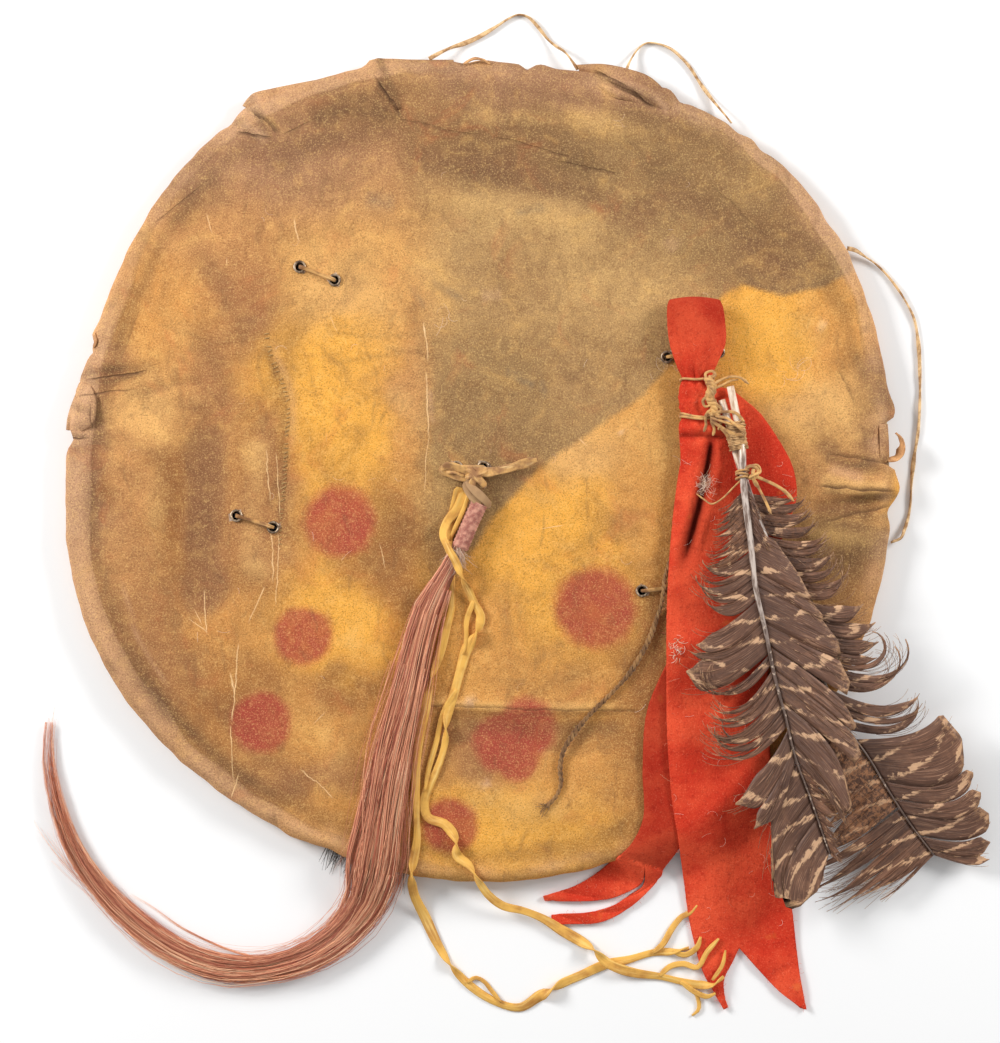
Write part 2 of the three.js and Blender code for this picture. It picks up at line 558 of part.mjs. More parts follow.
// ---- twisted cord that runs out from under the cloth ----
const TWISTED_CORD = rest([
  [125, 12, 1.6], [124, 0, 1.6], [121.5, -14, 1.6], [120, -28, 1.6], [118, -42, 1.6], [113.5, -53, 2],
  [110.6, -62, 4], [109.6, -70, 4.8], [108.6, -78, 3.4], [106, -86, 1.7], [102.5, -96, 1.6], [96, -109, 1.6],
  [89, -120, 1.6], [81, -129, 1.6], [73, -137, 1.6], [64, -146, 1.6], [56, -156, 1.6], [50, -166, 1.6],
  [48, -176, 1.6], [48.5, -186, 1.6], [45, -194, 1.6], [40, -199, 1.6],
]);
add('twisted_cord', tube(TWISTED_CORD, CORD_RADIUS, 8, 6.8), twistedFibre);

// ---- loops of rim thong that leave the gathered edge and come back to it ----
const RIM_LOOP_HEIGHT = 6.4;
const OUT = 1.6;
function rimLoop(from, between, to) {
  const end = (degrees) => {
    const reach = rimRadius(rad(degrees)) + OUT;
    return [reach * Math.cos(rad(degrees)), reach * Math.sin(rad(degrees)), RIM_LOOP_HEIGHT];
  };
  return tube([end(from), ...between, end(to)], RIM_THONG_RADIUS, 8, 6.5);
}
add('rim_thong_top', rimLoop(97, [
  [-24, 254, 5.6], [-17, 257.5, 3.6], [-10, 260, 1.8], [-1, 264, 1.4], [10, 270.5, 1.4], [17, 275, 1.4],
  [23, 277.5, 1.4], [29, 276, 1.4], [35, 270, 1.4], [41, 262.5, 1.8], [46, 258, 3.4], [51, 254.5, 5.4],
], 76.4), thongHide);
add('rim_thong_upper_right', rimLoop(70, [
  [89, 246, 5.6], [92, 252, 3.2], [96, 257.5, 1.6], [101, 260.5, 1.4], [108, 259.8, 1.4], [115, 257, 1.4],
  [121, 252, 1.4], [126.5, 246, 1.4], [131, 239, 1.4], [136, 231.6, 1.6], [142, 223.6, 3], [147.5, 216.6, 5.4],
], 54.4), thongHide);
add('rim_thong_right', rimLoop(31.6, [
  [226, 135, 5.4], [232, 131.5, 3.2], [240, 126, 1.6], [248, 117.5, 1.4], [256, 106, 1.4], [262, 94, 1.4],
  [264.5, 80, 1.4], [265.5, 62, 1.4], [265.5, 44, 1.4], [264.5, 26, 1.4], [262, 10, 1.4], [260.5, -4, 1.4],
  [260, -16, 1.4], [258.5, -26, 1.6], [256, -33.5, 3], [253.5, -38.5, 5.2],
], -9.4), thongHide);

// ---- the origin: the middle of the underside, on the ground ----
const CORDS = /thong_|twisted_cord/;
const bounds = new THREE.Box3();
group.children.filter((mesh) => !CORDS.test(mesh.name)).forEach((mesh) => bounds.expandByObject(mesh));
const middle = bounds.getCenter(new THREE.Vector3());
group.position.set(-middle.x, -middle.y, -bounds.min.z);

export default group;
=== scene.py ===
import math
import random

import bpy
import numpy as np
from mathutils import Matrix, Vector, noise


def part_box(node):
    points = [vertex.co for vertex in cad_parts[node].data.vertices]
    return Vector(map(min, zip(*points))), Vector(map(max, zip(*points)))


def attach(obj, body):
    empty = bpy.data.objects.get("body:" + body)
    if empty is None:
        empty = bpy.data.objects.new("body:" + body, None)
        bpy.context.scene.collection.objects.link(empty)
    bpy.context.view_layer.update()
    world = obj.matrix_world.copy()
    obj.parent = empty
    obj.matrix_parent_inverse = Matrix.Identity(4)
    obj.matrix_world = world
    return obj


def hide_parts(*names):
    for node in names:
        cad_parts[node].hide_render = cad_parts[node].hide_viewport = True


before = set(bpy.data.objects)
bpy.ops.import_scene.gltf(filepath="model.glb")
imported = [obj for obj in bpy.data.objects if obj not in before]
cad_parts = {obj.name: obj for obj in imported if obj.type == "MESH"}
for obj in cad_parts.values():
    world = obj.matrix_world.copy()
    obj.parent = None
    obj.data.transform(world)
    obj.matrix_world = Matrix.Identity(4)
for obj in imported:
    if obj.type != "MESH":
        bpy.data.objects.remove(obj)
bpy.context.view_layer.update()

# ---- Where the shield lies, and the form of its covered disc ----
# The shield lies on its back. Places below are measured from the disc's centre, +X to the right and
# +Y to the top of the painted face; the first eyelet of the upper left stitch says where that centre is.
MM = 0.001
STITCHES = {
    "upper_left": ((-108, 124), (-87, 116)),
    "lower_left": ((-146, -25), (-124, -32)),
    "centre": ((-14, 4), (2, 4)),
    "upper_right": ((112, 70), (143, 73)),
    "lower_right": ((97, -70), (119, -68)),
}
eyelet_low, eyelet_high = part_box("eyelet_upper_left_1")
CENTRE_X = (eyelet_low.x + eyelet_high.x) / 2 - STITCHES["upper_left"][0][0] * MM
CENTRE_Y = (eyelet_low.y + eyelet_high.y) / 2 - STITCHES["upper_left"][0][1] * MM
RIM_TOP = 13
CROWN = 6
SKIN = 1.4


def bell(t):
    return np.exp(-np.square(t))


def smooth(t):
    t = np.clip(t, 0, 1)
    return t * t * (3 - 2 * t)


def rim_radius(angle):
    """How far the covered rim is from the centre: the hide dried a little out of round."""
    return (251 + 4 * np.cos(angle - math.radians(79)) + 1.2 * np.cos(2 * angle - math.radians(33))
            + 3.7 * np.cos(4 * angle - math.radians(145)) + 2.6 * np.cos(5 * angle + math.radians(108)))


def face_height(x, y):
    """Height of the cover's face: a low crown with slack swells that die out at the rim."""
    ratio = np.hypot(x, y) / rim_radius(np.arctan2(y, x))
    swell = 0.9 * np.sin(x / 38 + 0.8) * np.cos(y / 47) + 0.6 * np.sin((x - y) / 61)
    return RIM_TOP + CROWN * (1 - ratio ** 2) + swell * np.maximum(0, 1 - ratio ** 6)


def drape(x, y):
    """Height of whatever lies on the face and hangs over the rim to the ground."""
    angle = np.arctan2(y, x)
    edge = rim_radius(angle) - 6
    beyond = np.hypot(x, y) - edge
    over = face_height(edge * np.cos(angle), edge * np.sin(angle)) * (1 - smooth(beyond / 34))
    return np.where(beyond <= 0, face_height(x, y), over)


def placed(points):
    """Points in millimetres from the disc's centre, as points of the frame in metres."""
    spots = np.asarray(points, float) * MM
    spots[:, 0] += CENTRE_X
    spots[:, 1] += CENTRE_Y
    return spots


# ---- Camera, light and floor ----
# The camera looks straight down on the shield as it lies, between two wide soft lamps.
VIEW_CENTRE = (12, -28.5)
VIEW_HEIGHT = 625.8
CAMERA_HEIGHT = 2.0
MID_HEIGHT = 0.014
SENSOR = 36
LAMPS = ((-1, 33), (1, 23))     # side, watts
LAMP_ASIDE = 1.45
SKY_STRENGTH = 0.45

bpy.ops.object.select_all(action="DESELECT")
view_x, view_y = (placed([(*VIEW_CENTRE, 0)])[0])[:2]
bpy.ops.object.camera_add(location=(view_x, view_y, CAMERA_HEIGHT), rotation=(0, 0, 0))
camera = bpy.context.object
camera.data.sensor_width = SENSOR
camera.data.lens = SENSOR * (CAMERA_HEIGHT - MID_HEIGHT) / (VIEW_HEIGHT * MM)
bpy.context.scene.camera = camera

for side, strength in LAMPS:
    bpy.ops.object.light_add(type="AREA", location=(view_x + side * LAMP_ASIDE, view_y + 0.75, 0.95))
    lamp = bpy.context.object
    lamp.data.shape = "RECTANGLE"
    lamp.data.size = 0.5
    lamp.data.size_y = 0.7
    lamp.data.energy = strength
    lamp.rotation_euler = (Vector((view_x, view_y, 0)) - lamp.location).to_track_quat("-Z", "Z").to_euler()

sky = bpy.data.worlds.new("sky")
sky.use_nodes = True
sky.node_tree.nodes["Background"].inputs["Color"].default_value = (1, 1, 1, 1)
sky.node_tree.nodes["Background"].inputs["Strength"].default_value = SKY_STRENGTH
bpy.context.scene.world = sky
bpy.context.scene.view_settings.view_transform = "Standard"


class Wire:
    """One output of a material's nodes. Sums on wires add Math nodes."""

    def __init__(self, finish, socket):
        self.finish = finish
        self.socket = socket

    def __add__(self, other):
        return self.finish.maths("ADD", self, other)

    def __sub__(self, other):
        return self.finish.maths("SUBTRACT", self, other)

    def __rsub__(self, other):
        return self.finish.maths("SUBTRACT", other, self)

    def __mul__(self, other):
        return self.finish.maths("MULTIPLY", self, other)

    def __truediv__(self, other):
        return self.finish.maths("DIVIDE", self, other)

    __radd__ = __add__
    __rmul__ = __mul__


class Finish:
    """A material whose surface is worked out from wires."""

    def __init__(self, name, **constants):
        self.material = bpy.data.materials.new(name)
        self.material.use_nodes = True
        self.tree = self.material.node_tree
        self.shader = self.tree.nodes["Principled BSDF"]
        self.surface(**constants)

    def node(self, kind, settings=None, inputs=None, output=0):
        made = self.tree.nodes.new("ShaderNode" + kind)
        for setting, value in (settings or {}).items():
            if setting == "stops":
                self.set_stops(made.color_ramp, value)
            else:
                setattr(made, setting, value)
        for key, value in (inputs or {}).items():
            self.feed(made.inputs[key], value)
        return Wire(self, made.outputs[output])

    def set_stops(self, ramp, stops):
        while len(ramp.elements) < len(stops):
            ramp.elements.new(1)
        for element, (place, shade) in zip(ramp.elements, stops):
            element.position = place
            element.color = (*shade, 1) if isinstance(shade, tuple) else (shade, shade, shade, 1)

    def feed(self, socket, value):
        if isinstance(value, Wire):
            self.tree.links.new(value.socket, socket)
        elif isinstance(value, tuple) and len(value) == 3 and socket.type == "RGBA":
            socket.default_value = (*value, 1)
        else:
            socket.default_value = value

    def maths(self, operation, *terms):
        return self.node("Math", {"operation": operation}, dict(enumerate(terms)))

    def clamped(self, wire):
        return self.node("Clamp", None, {"Value": wire})

    def mix(self, factor, first, second, blend="MIX"):
        return self.node("Mix", {"data_type": "RGBA", "blend_type": blend},
                         {0: factor, 6: first, 7: second}, 2)

    def place(self):
        return self.node("TexCoord", None, None, "Object")

    def run(self):
        return self.node("UVMap", {"uv_map": "run"})

    def spot(self, name):
        return self.node("Attribute", {"attribute_name": name}, None, "Fac")

    def tint(self, name):
        return self.node("Attribute", {"attribute_name": name}, None, "Color")

    def axis(self, place, number):
        return self.node("SeparateXYZ", None, {0: place}, number)

    def stretched(self, place, scale):
        return self.node("Mapping", None, {"Vector": place, "Scale": scale})

    def grain(self, place, scale, detail=2, rough=0.5, distortion=0):
        inputs = {"Vector": place, "Scale": scale, "Detail": detail, "Roughness": rough,
                  "Distortion": distortion}
        return self.node("TexNoise", None, inputs)

    def step(self, wire, low, high):
        inputs = {"Value": wire, "From Min": low, "From Max": high}
        return self.node("MapRange", {"interpolation_type": "SMOOTHSTEP"}, inputs)

    def bump(self, height, distance, strength=1.0, base=None):
        inputs = {"Height": height, "Distance": distance, "Strength": strength}
        if base is not None:
            inputs["Normal"] = base
        return self.node("Bump", None, inputs)

    def coats(self, colour, layers):
        """Coats over a colour: what each follows, where it starts and is full, its strength and colour."""
        for wire, low, high, strength, coat in layers:
            colour = self.mix(self.step(wire, low, high) * strength, colour, coat)
        return colour

    def surface(self, **values):
        for name, value in values.items():
            self.feed(self.shader.inputs[name.replace("_", " ")], value)
        return self


# a pale, plain floor
bpy.ops.mesh.primitive_plane_add(size=8, location=(view_x, view_y, 0))
floor = bpy.context.object
floor.name = "floor"
floor.data.materials.append(Finish("floor_white", Base_Color=(0.9, 0.9, 0.9), Roughness=0.9).material)

# ---- Long thongs ----
# Two long strips of yellow buckskin hang from the centre tie, under and over the hair. They were cut by
# hand, so their width wanders; they twist as they run, and their split ends curl on the ground.
THONG_LEFT = [
    (-12, -8, 4.4), (-14, -17, 2.4), (-17, -27, 2.1), (-19, -37, 2.1), (-19, -47, 2.1), (-18, -58, 2.1),
    (-17, -68, 2.1), (-17, -80, 2.1), (-20, -92, 2.1), (-24, -108, 2.1), (-30, -124, 2.1), (-33, -140, 2.1),
    (-36, -155, 2.1), (-38, -172, 2.1), (-38.5, -190, 2.1), (-38, -204, 2.1), (-38, -220, 2.1),
    (-41, -238, 2.1), (-40, -252, 2.1), (-33, -268, 2.1), (-26, -283, 2.1), (-18, -296, 2.1), (-7, -308, 2.1),
    (8, -318, 2), (24, -322, 2), (36, -315, 2), (48, -308, 2), (62, -302, 2), (76, -296, 2), (90, -293, 2),
    (104, -289, 2), (116, -288, 2), (126, -286, 2),
]
THONG_RIGHT = [
    (-9, -11, 6), (-13, -21, 5.8), (-19, -28, 5.8), (-22, -36, 9), (-19, -44, 12.4), (-15, -51, 12.8),
    (-11.5, -59, 10.6), (-7.5, -68, 5), (-3, -78, 2.1), (0.5, -85, 2.1), (-2, -94, 2.1), (-8, -105, 2.1),
    (-11.5, -117, 2.1), (-15, -130, 2.1), (-20, -147, 2.1), (-21, -161, 2.1), (-25, -175, 2.1),
    (-31, -188, 2.1), (-33.5, -198, 2.1), (-31, -206, 2.1), (-21, -210, 2.1), (-14.5, -219, 2.1),
    (-13.5, -229, 2.1), (-6, -235, 2.1), (-1, -244, 2.1), (5, -253, 2.1), (14, -260, 3), (26, -263, 4.2),
    (38, -268, 4.6), (49, -275, 3.6), (61, -282, 2.6), (69, -287, 4.6), (76, -294, 5.8), (84, -298, 5.8),
    (94, -301, 3.2), (108, -303, 2), (121, -306, 2.4), (133, -308, 4.4), (140, -308, 4.6), (147, -303, 4.6),
]
THONG_WIDTH = 5.5
THONG_THICKNESS = 1.3
THONG_BED = 1.9                 # how far below its route a thong's underside lies


class Shape:
    """Points in millimetres, the faces between them, and each corner's place round and along its piece."""

    def __init__(self):
        self.points = []
        self.faces = []
        self.runs = []
        self.shades = []
        self.count = 0

    def add(self, points, faces, runs, shade=0.5):
        points = np.asarray(points, float).reshape(-1, 3)
        self.points.append(points)
        self.faces += [[corner + self.count for corner in face] for face in faces]
        self.runs.append(np.asarray(runs, float).reshape(-1, 2))
        self.shades.append(np.broadcast_to(np.asarray(shade, float).ravel(), len(points)))
        self.count += len(points)
        return self

    def sweep(self, path, section, turn=0.0, level=False, shade=0.5):
        """A section of (side, up) points carried along a path, closed at both ends."""
        path = np.asarray(path, float)
        rings = len(path)
        section = np.broadcast_to(section, (rings, *np.shape(section)[-2:]))
        sides = section.shape[1]
        side, up = directions(path, level)
        turn = np.broadcast_to(turn, rings)[:, None]
        across = section[..., 0] * np.cos(turn) - section[..., 1] * np.sin(turn)
        rise = section[..., 0] * np.sin(turn) + section[..., 1] * np.cos(turn)
        points = path[:, None] + across[..., None] * side[:, None] + rise[..., None] * up[:, None]
        ring, column = np.meshgrid(np.arange(rings - 1), np.arange(sides), indexing="ij")
        ring = np.stack([ring, ring + 1, ring + 1, ring], -1).reshape(-1, 4)
        column = np.stack([column, column, column + 1, column + 1], -1).reshape(-1, 4)
        faces = (ring * sides + column % sides).tolist()
        faces += [list(range(sides)), [(rings - 1) * sides + k for k in reversed(range(sides))]]
        run = distance_along(path) / 10
        around = np.arange(sides) / sides
        runs = np.stack([column / sides, run[ring]], -1).reshape(-1, 2)
        start = np.column_stack([around, np.full(sides, run[0])])
        end = np.column_stack([around[::-1], np.full(sides, run[-1])])
        if np.ndim(shade):
            shade = np.repeat(shade, sides)
        return self.add(points, faces, np.vstack([runs, start, end]), shade)


def distance_along(path):
    return np.concatenate([[0], np.cumsum(np.linalg.norm(np.diff(path, axis=0), axis=1))])


def along_run(places, run, values):
    """Columns of values that are known at the distances in run, read at other places along it."""
    return np.column_stack([np.interp(places, run, values[:, axis]) for axis in range(values.shape[1])])


def directions(path, level):
    """Sideways and upwards at each point of a path: kept level, or carried along without turning."""
    along = np.gradient(path, axis=0)
    along /= np.linalg.norm(along, axis=1)[:, None]
    side = np.cross(along, (0, 0, 1.0))
    if not level:
        side[0] = np.cross(along[0], (0, 0, 1) if abs(along[0][2]) < 0.9 else (0, 1, 0))
        for i in range(1, len(path)):
            side[i] = side[i - 1] - along[i] * np.dot(side[i - 1], along[i])
            side[i] /= np.linalg.norm(side[i])
    side /= np.linalg.norm(side, axis=1)[:, None]
    return side, np.cross(side, along)


def smooth_path(route, step):
    """A smooth curve through a route's points, cut into even steps."""
    route = np.asarray(route, float)
    posts = np.vstack([2 * route[0] - route[1], route, 2 * route[-1] - route[-2]])
    knots = np.concatenate([[0], np.cumsum(np.linalg.norm(np.diff(posts, axis=0), axis=1) ** 0.5)])
    stretches = []
    for i in range(1, len(posts) - 2):
        place = posts[i - 1:i + 3]
        knot = knots[i - 1:i + 3]
        at = np.linspace(knot[1], knot[2], 12, endpoint=False)[:, None]
        for reach in (1, 2, 3):
            place = [(low * (knot[j + reach] - at) + high * (at - knot[j])) / (knot[j + reach] - knot[j])
                     if reach < 3 else (low * (knot[2] - at) + high * (at - knot[1])) / (knot[2] - knot[1])
                     for j, (low, high) in enumerate(zip(place, place[1:]))]
        stretches.append(place[0])
    fine = np.vstack([*stretches, route[-1:]])
    run = distance_along(fine)
    even = np.linspace(0, run[-1], max(3, round(run[-1] / step) + 1))
    return along_run(even, run, fine)


def lying(points):
    """Route points given by their height above the face or the ground, at their real height."""
    x, y, lift = np.asarray(points, float).T
    return np.column_stack([x, y, drape(x, y) + lift])


def grid_faces(rows, columns):
    """The faces between the points of a grid kept row by row."""
    row, column = np.meshgrid(np.arange(rows - 1), np.arange(columns - 1), indexing="ij")
    corner = (row * columns + column).ravel()
    return np.stack([corner, corner + 1, corner + columns + 1, corner + columns], -1)


def oval_section(width, height, sides=10, squareness=1.0):
    turn = 2 * np.pi * np.arange(sides) / sides
    reach = np.abs(np.stack([np.cos(turn), np.sin(turn)], -1)) ** squareness
    sign = np.sign(np.stack([np.cos(turn), np.sin(turn)], -1).round(9))
    half = np.stack([np.asarray(width, float), np.asarray(height, float)], -1) / 2
    return sign * reach * half[..., None, :]


def fine_hair(shape, path, root, tip, shade=0.5, sides=3):
    """A hair or barb along a path, its thickness narrowing from root to tip."""
    taper = np.linspace(root, tip, len(path))
    return shape.sweep(path, oval_section(taper, taper, sides), shade=shade)


def piece_from(shape, name, finish, slot, *nodes):
    """One finished piece of the shield, riding on it, in place of the plain solids named."""
    mesh = bpy.data.meshes.new(name)
    mesh.from_pydata(placed(np.vstack(shape.points)).tolist(), [], shape.faces)
    mesh.uv_layers.new(name="run").data.foreach_set("uv", np.vstack(shape.runs).ravel())
    mesh.attributes.new("shade", "FLOAT", "POINT").data.foreach_set("value", np.concatenate(shape.shades))
    mesh.polygons.foreach_set("use_smooth", np.ones(len(mesh.polygons), bool))
    mesh.materials.append(finish.material)
    piece = bpy.data.objects.new(name, mesh)
    bpy.context.collection.objects.link(piece)
    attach(piece, "root")
    if nodes:
        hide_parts(*nodes)
    return piece


def thong_strip(route, width, twists, phase, tapered=(0.0, 24.0)):
    """A flat strip along a route, with half turns at the given distances: its shape and centre line."""
    path = smooth_path(route, 2.2)
    run = distance_along(path)
    turn = sum(math.pi * smooth((run - place) / 22 + 0.5) for place in twists)
    turn = turn + 0.3 * np.sin(run / 27 + phase) * np.cos(run / 45 + 2 * phase)
    wander = 1 + 0.16 * np.sin(run / 19 + phase) + 0.1 * np.sin(run / 7.3 + 3 * phase)
    thin = np.minimum(smooth(0.45 + run / max(tapered[0], 1)),
                      smooth(0.3 + (run[-1] - run) / max(tapered[1], 1)))
    widths = width * wander * (0.25 + 0.75 * thin)
    path[:, 2] += (np.abs(np.sin(turn)) * widths + np.abs(np.cos(turn)) * THONG_THICKNESS) / 2 - THONG_BED
    section = oval_section(widths, np.full(len(run), THONG_THICKNESS), 12, 0.7)
    section[..., 1] += 0.05 * np.square(section[..., 0]) * np.sin(run / 33 + phase)[:, None]
    return Shape().sweep(path, section, turn, level=True), path


def pigment(*levels):
    """A colour from its everyday levels, 0 to 255, as the light it reflects."""
    shares = np.array(levels) / 255
    return tuple(np.where(shares < 0.04, shares / 12.92, ((shares + 0.055) / 1.055) ** 2.4).tolist())


yellow_thong = Finish("yellow_thong", Roughness=0.72, Specular_IOR_Level=0.3)
along_strip = yellow_thong.stretched(yellow_thong.run(), (9, 0.35, 1))
fibre = yellow_thong.grain(along_strip, 1, 4, 0.6)
soil = yellow_thong.grain(yellow_thong.place(), 62, 4, 0.6)
strip_hide = yellow_thong.mix(yellow_thong.step(soil, 0.42, 0.7), (0.80, 0.44, 0.09), (0.52, 0.23, 0.05))
strip_hide = yellow_thong.coats(strip_hide, [
    (fibre, 0.46, 0.78, 1, (0.92, 0.62, 0.20)),
    (fibre, 0.4, 0.2, 1, (0.34, 0.14, 0.03)),
])
pores = yellow_thong.grain(yellow_thong.place(), 1500, 2)
yellow_thong.surface(Base_Color=strip_hide, Normal=yellow_thong.bump(fibre + 0.35 * pores, 0.0005, 0.9))


def free_cord(path):
    start = Vector(placed(path[:1])[0])
    [tuple(p) for p in placed(path)]


def split_ends(name, routes, width, slot="yellow_buckskin"):
    """The narrower strips that a thong's end is slit into."""
    ends = []
    for number, route in enumerate(routes):
        shape, _ = thong_strip(lying(route), width, (), 1.7 * number, (8, 12))
        ends.append(piece_from(shape, f"{name}_{number + 1}", yellow_thong, slot))
    return ends


left_ends = split_ends("left_thong_end", [
    [(104, -289, 3.4), (110, -284, 3), (116, -274, 2.2), (122, -267, 2.2), (126, -265, 2.4),
     (131, -260, 3.4)], [(116, -288, 3.4), (124, -290, 3.2), (131, -285, 4.2), (133, -279, 4.4)],
    [(-8, -307, 3.4), (-3, -304, 2.2), (2, -306, 2.2), (7, -312, 2.2), (13, -319, 3.4)],
], 3.2)
strip, centre_line = thong_strip(lying(THONG_LEFT), THONG_WIDTH, (42, 118, 236, 300, 372, 455, 520), 0.6)
left_thong = piece_from(strip, "left_thong", yellow_thong, "yellow_buckskin", "long_thong_left")
free_cord(centre_line)

right_ends = split_ends("right_thong_end", [
    [(108, -303, 3.2), (115, -297, 2.6), (123, -295.5, 2.6), (131, -297.5, 3.6), (137, -288, 4.6),
     (144, -280, 4.8)], [(121, -306, 3.4), (129, -312, 3.6), (137, -315, 4.6), (142, -313, 4.8)],
    [(126, -308, 3.4), (131, -315, 2.4), (132, -323, 2.2), (128, -327, 2)],
    [(140, -305, 6), (146, -296, 5.6), (148, -287, 5.4)],
    [(-14, -129, 3.2), (-22, -143, 2.3), (-26, -160, 2.3), (-31, -178, 2.3), (-33, -190, 3.4)],
    [(-4, -76, 3.4), (-8, -88, 2.3), (-8, -98, 2.3), (-10, -108, 3.4)],
    [(-6, -10, 8), (-10, -22, 8.6), (-15, -33, 7.6), (-18, -40, 6)],
], 3.0)
strip, centre_line = thong_strip(lying(THONG_RIGHT), THONG_WIDTH, (58, 96, 158, 240, 262, 352, 430, 486), 2.1)
right_thong = piece_from(strip, "right_thong", yellow_thong, "yellow_buckskin", "long_thong_right")
free_cord(centre_line)

# ---- Twisted cord ----
# Two plies of brown fibre laid up by hand, coming out from under the red cloth and lying on the cover.
TWISTED_CORD = [
    (125, 12, 1.6), (124, 0, 1.6), (121.5, -14, 1.6), (120, -28, 1.6), (118, -42, 1.6), (113.5, -53, 2),
    (110.6, -62, 4), (109.6, -70, 4.8), (108.6, -78, 3.4), (106, -86, 1.7), (102.5, -96, 1.6),
    (96, -109, 1.6), (89, -120, 1.6), (81, -129, 1.6), (73, -137, 1.6), (64, -146, 1.6),
    (56, -156, 1.6), (50, -166, 1.6), (48, -176, 1.6), (48.5, -186, 1.6), (45, -194, 1.6),
    (40, -199, 1.6),
]
CORD_WIDTH = 3.0
LAY = 7.5                       # length along the cord in which a ply goes once round

brown_fibre = Finish("brown_fibre", Roughness=0.9, Sheen_Weight=0.2)
strand_run = brown_fibre.grain(brown_fibre.stretched(brown_fibre.run(), (7, 1.6, 1)), 1, 4, 0.65)
strand_soil = brown_fibre.grain(brown_fibre.place(), 90, 3, 0.6)
strand_hide = brown_fibre.mix(brown_fibre.step(strand_soil, 0.35, 0.65), (0.34, 0.17, 0.055),
                              (0.15, 0.065, 0.02))
strand_hide = brown_fibre.mix(brown_fibre.step(strand_run, 0.5, 0.75), strand_hide, (0.5, 0.3, 0.12))
brown_fibre.surface(Base_Color=strand_hide, Normal=brown_fibre.bump(strand_run, 0.0005))


def laid_up(path, width, lay, plies=2, sides=8, seed=3):
    """Plies twisted round one another along a path, and the few fibres that stand off them."""
    draw = random.Random(seed)
    shape = Shape()
    fuzz = Shape()
    run = distance_along(path)
    side, up = directions(path, True)
    swell = 1 + 0.12 * np.sin(run / 11 + seed) + 0.1 * np.sin(run / 4.1)
    for ply in range(plies):
        turn = 2 * np.pi * (run / lay + ply / plies)
        reach = 0.25 * width * swell
        strand = path + (reach * np.cos(turn))[:, None] * side + (reach * np.sin(turn))[:, None] * up
        shape.sweep(strand, oval_section(0.56 * width * swell, 0.56 * width * swell, sides))
    for _ in range(int(run[-1] / 5)):
        at = draw.uniform(0.01, 0.98)
        spot = path[int(at * (len(path) - 1))]
        aim = draw.uniform(0, 2 * math.pi)
        out = np.array([math.cos(aim), math.sin(aim), draw.uniform(0.0, 0.5)])
        reach = draw.uniform(1.2, 3.2)
        bend = np.array([draw.uniform(-1, 1), draw.uniform(-1, 1), 0.1])
        hair = [spot + out * 0.3 * width, spot + out * (0.3 * width + 0.6 * reach) + 0.2 * bend,
                spot + out * reach + bend]
        fuzz.sweep(hair, oval_section(0.16, 0.16, 3))
    return shape, fuzz


cord_line = smooth_path(lying(TWISTED_CORD), 1.0)
cord_line[:, 2] += 0.2
cord_shape, cord_fuzz = laid_up(cord_line, CORD_WIDTH, LAY)
frayed = random.Random(8)
for tuft in range(14):
    root = cord_line[-1 - frayed.randrange(4)]
    tip = root + np.array([frayed.uniform(-7, 1), frayed.uniform(-8, 2), frayed.uniform(-0.6, 1.2)])
    bow = (root + tip) / 2 + np.array([frayed.uniform(-1.5, 1.5), frayed.uniform(-1.5, 1.5), 0.6])
    cord_fuzz.sweep(smooth_path([root, bow, tip], 1.6), oval_section(0.3, 0.3, 4))
cord_fuzz = piece_from(cord_fuzz, "twisted_cord_fibres", brown_fibre, "twisted_fibre")
twisted_cord = piece_from(cord_shape, "twisted_fibre_cord", brown_fibre, "twisted_fibre", "twisted_cord")
free_cord(cord_line)

# ---- Rim thongs ----
# Thin hide thongs come out of the gathered rim, loop out over the ground and go back in.
RIM_LOOP_HEIGHT = 6.4
RIM_LOOPS = {
    "rim_thong_top": (97, [
        (-24, 254, 5.6), (-17, 257.5, 3.6), (-10, 260, 1.8), (-1, 264, 1.4), (10, 270.5, 1.4), (17, 275, 1.4),
        (23, 277.5, 1.4), (29, 276, 1.4), (35, 270, 1.4), (41, 262.5, 1.8), (46, 258, 3.4), (51, 254.5, 5.4),
    ], 76.4),
    "rim_thong_upper_right": (70, [
        (89, 246, 5.6), (92, 252, 3.2), (96, 257.5, 1.6), (101, 260.5, 1.4), (108, 259.8, 1.4),
        (115, 257, 1.4), (121, 252, 1.4), (126.5, 246, 1.4), (131, 239, 1.4), (136, 231.6, 1.6),
        (142, 223.6, 3), (147.5, 216.6, 5.4),
    ], 54.4),
    "rim_thong_right": (31.6, [
        (226, 135, 5.4), (232, 131.5, 3.2), (240, 126, 1.6), (248, 117.5, 1.4), (256, 106, 1.4),
        (262, 94, 1.4), (264.5, 80, 1.4), (265.5, 62, 1.4), (265.5, 44, 1.4), (264.5, 26, 1.4),
        (262, 10, 1.4), (260.5, -4, 1.4), (260, -16, 1.4), (258.5, -26, 1.6), (256, -33.5, 3),
        (253.5, -38.5, 5.2),
    ], -9.4),
}
RIM_THONG_WIDTH = 2.6
RIM_THONG_THICKNESS = 1.1


def rim_end(degrees):
    angle = math.radians(degrees)
    reach = rim_radius(angle) + 1.6
    return (reach * math.cos(angle), reach * math.sin(angle), RIM_LOOP_HEIGHT)


dry_thong = Finish("dry_thong", Roughness=0.8, Specular_IOR_Level=0.25)
thong_soil = dry_thong.grain(dry_thong.place(), 190, 3, 0.65)
thong_fibre = dry_thong.grain(dry_thong.stretched(dry_thong.run(), (5, 1.2, 1)), 1, 3)
thong_colour = dry_thong.mix(dry_thong.step(thong_soil, 0.38, 0.66), pigment(226, 188, 138),
                             pigment(158, 116, 76))
dry_thong.surface(Base_Color=thong_colour, Normal=dry_thong.bump(thong_fibre + 0.5 * thong_soil, 0.0004, 0.9))

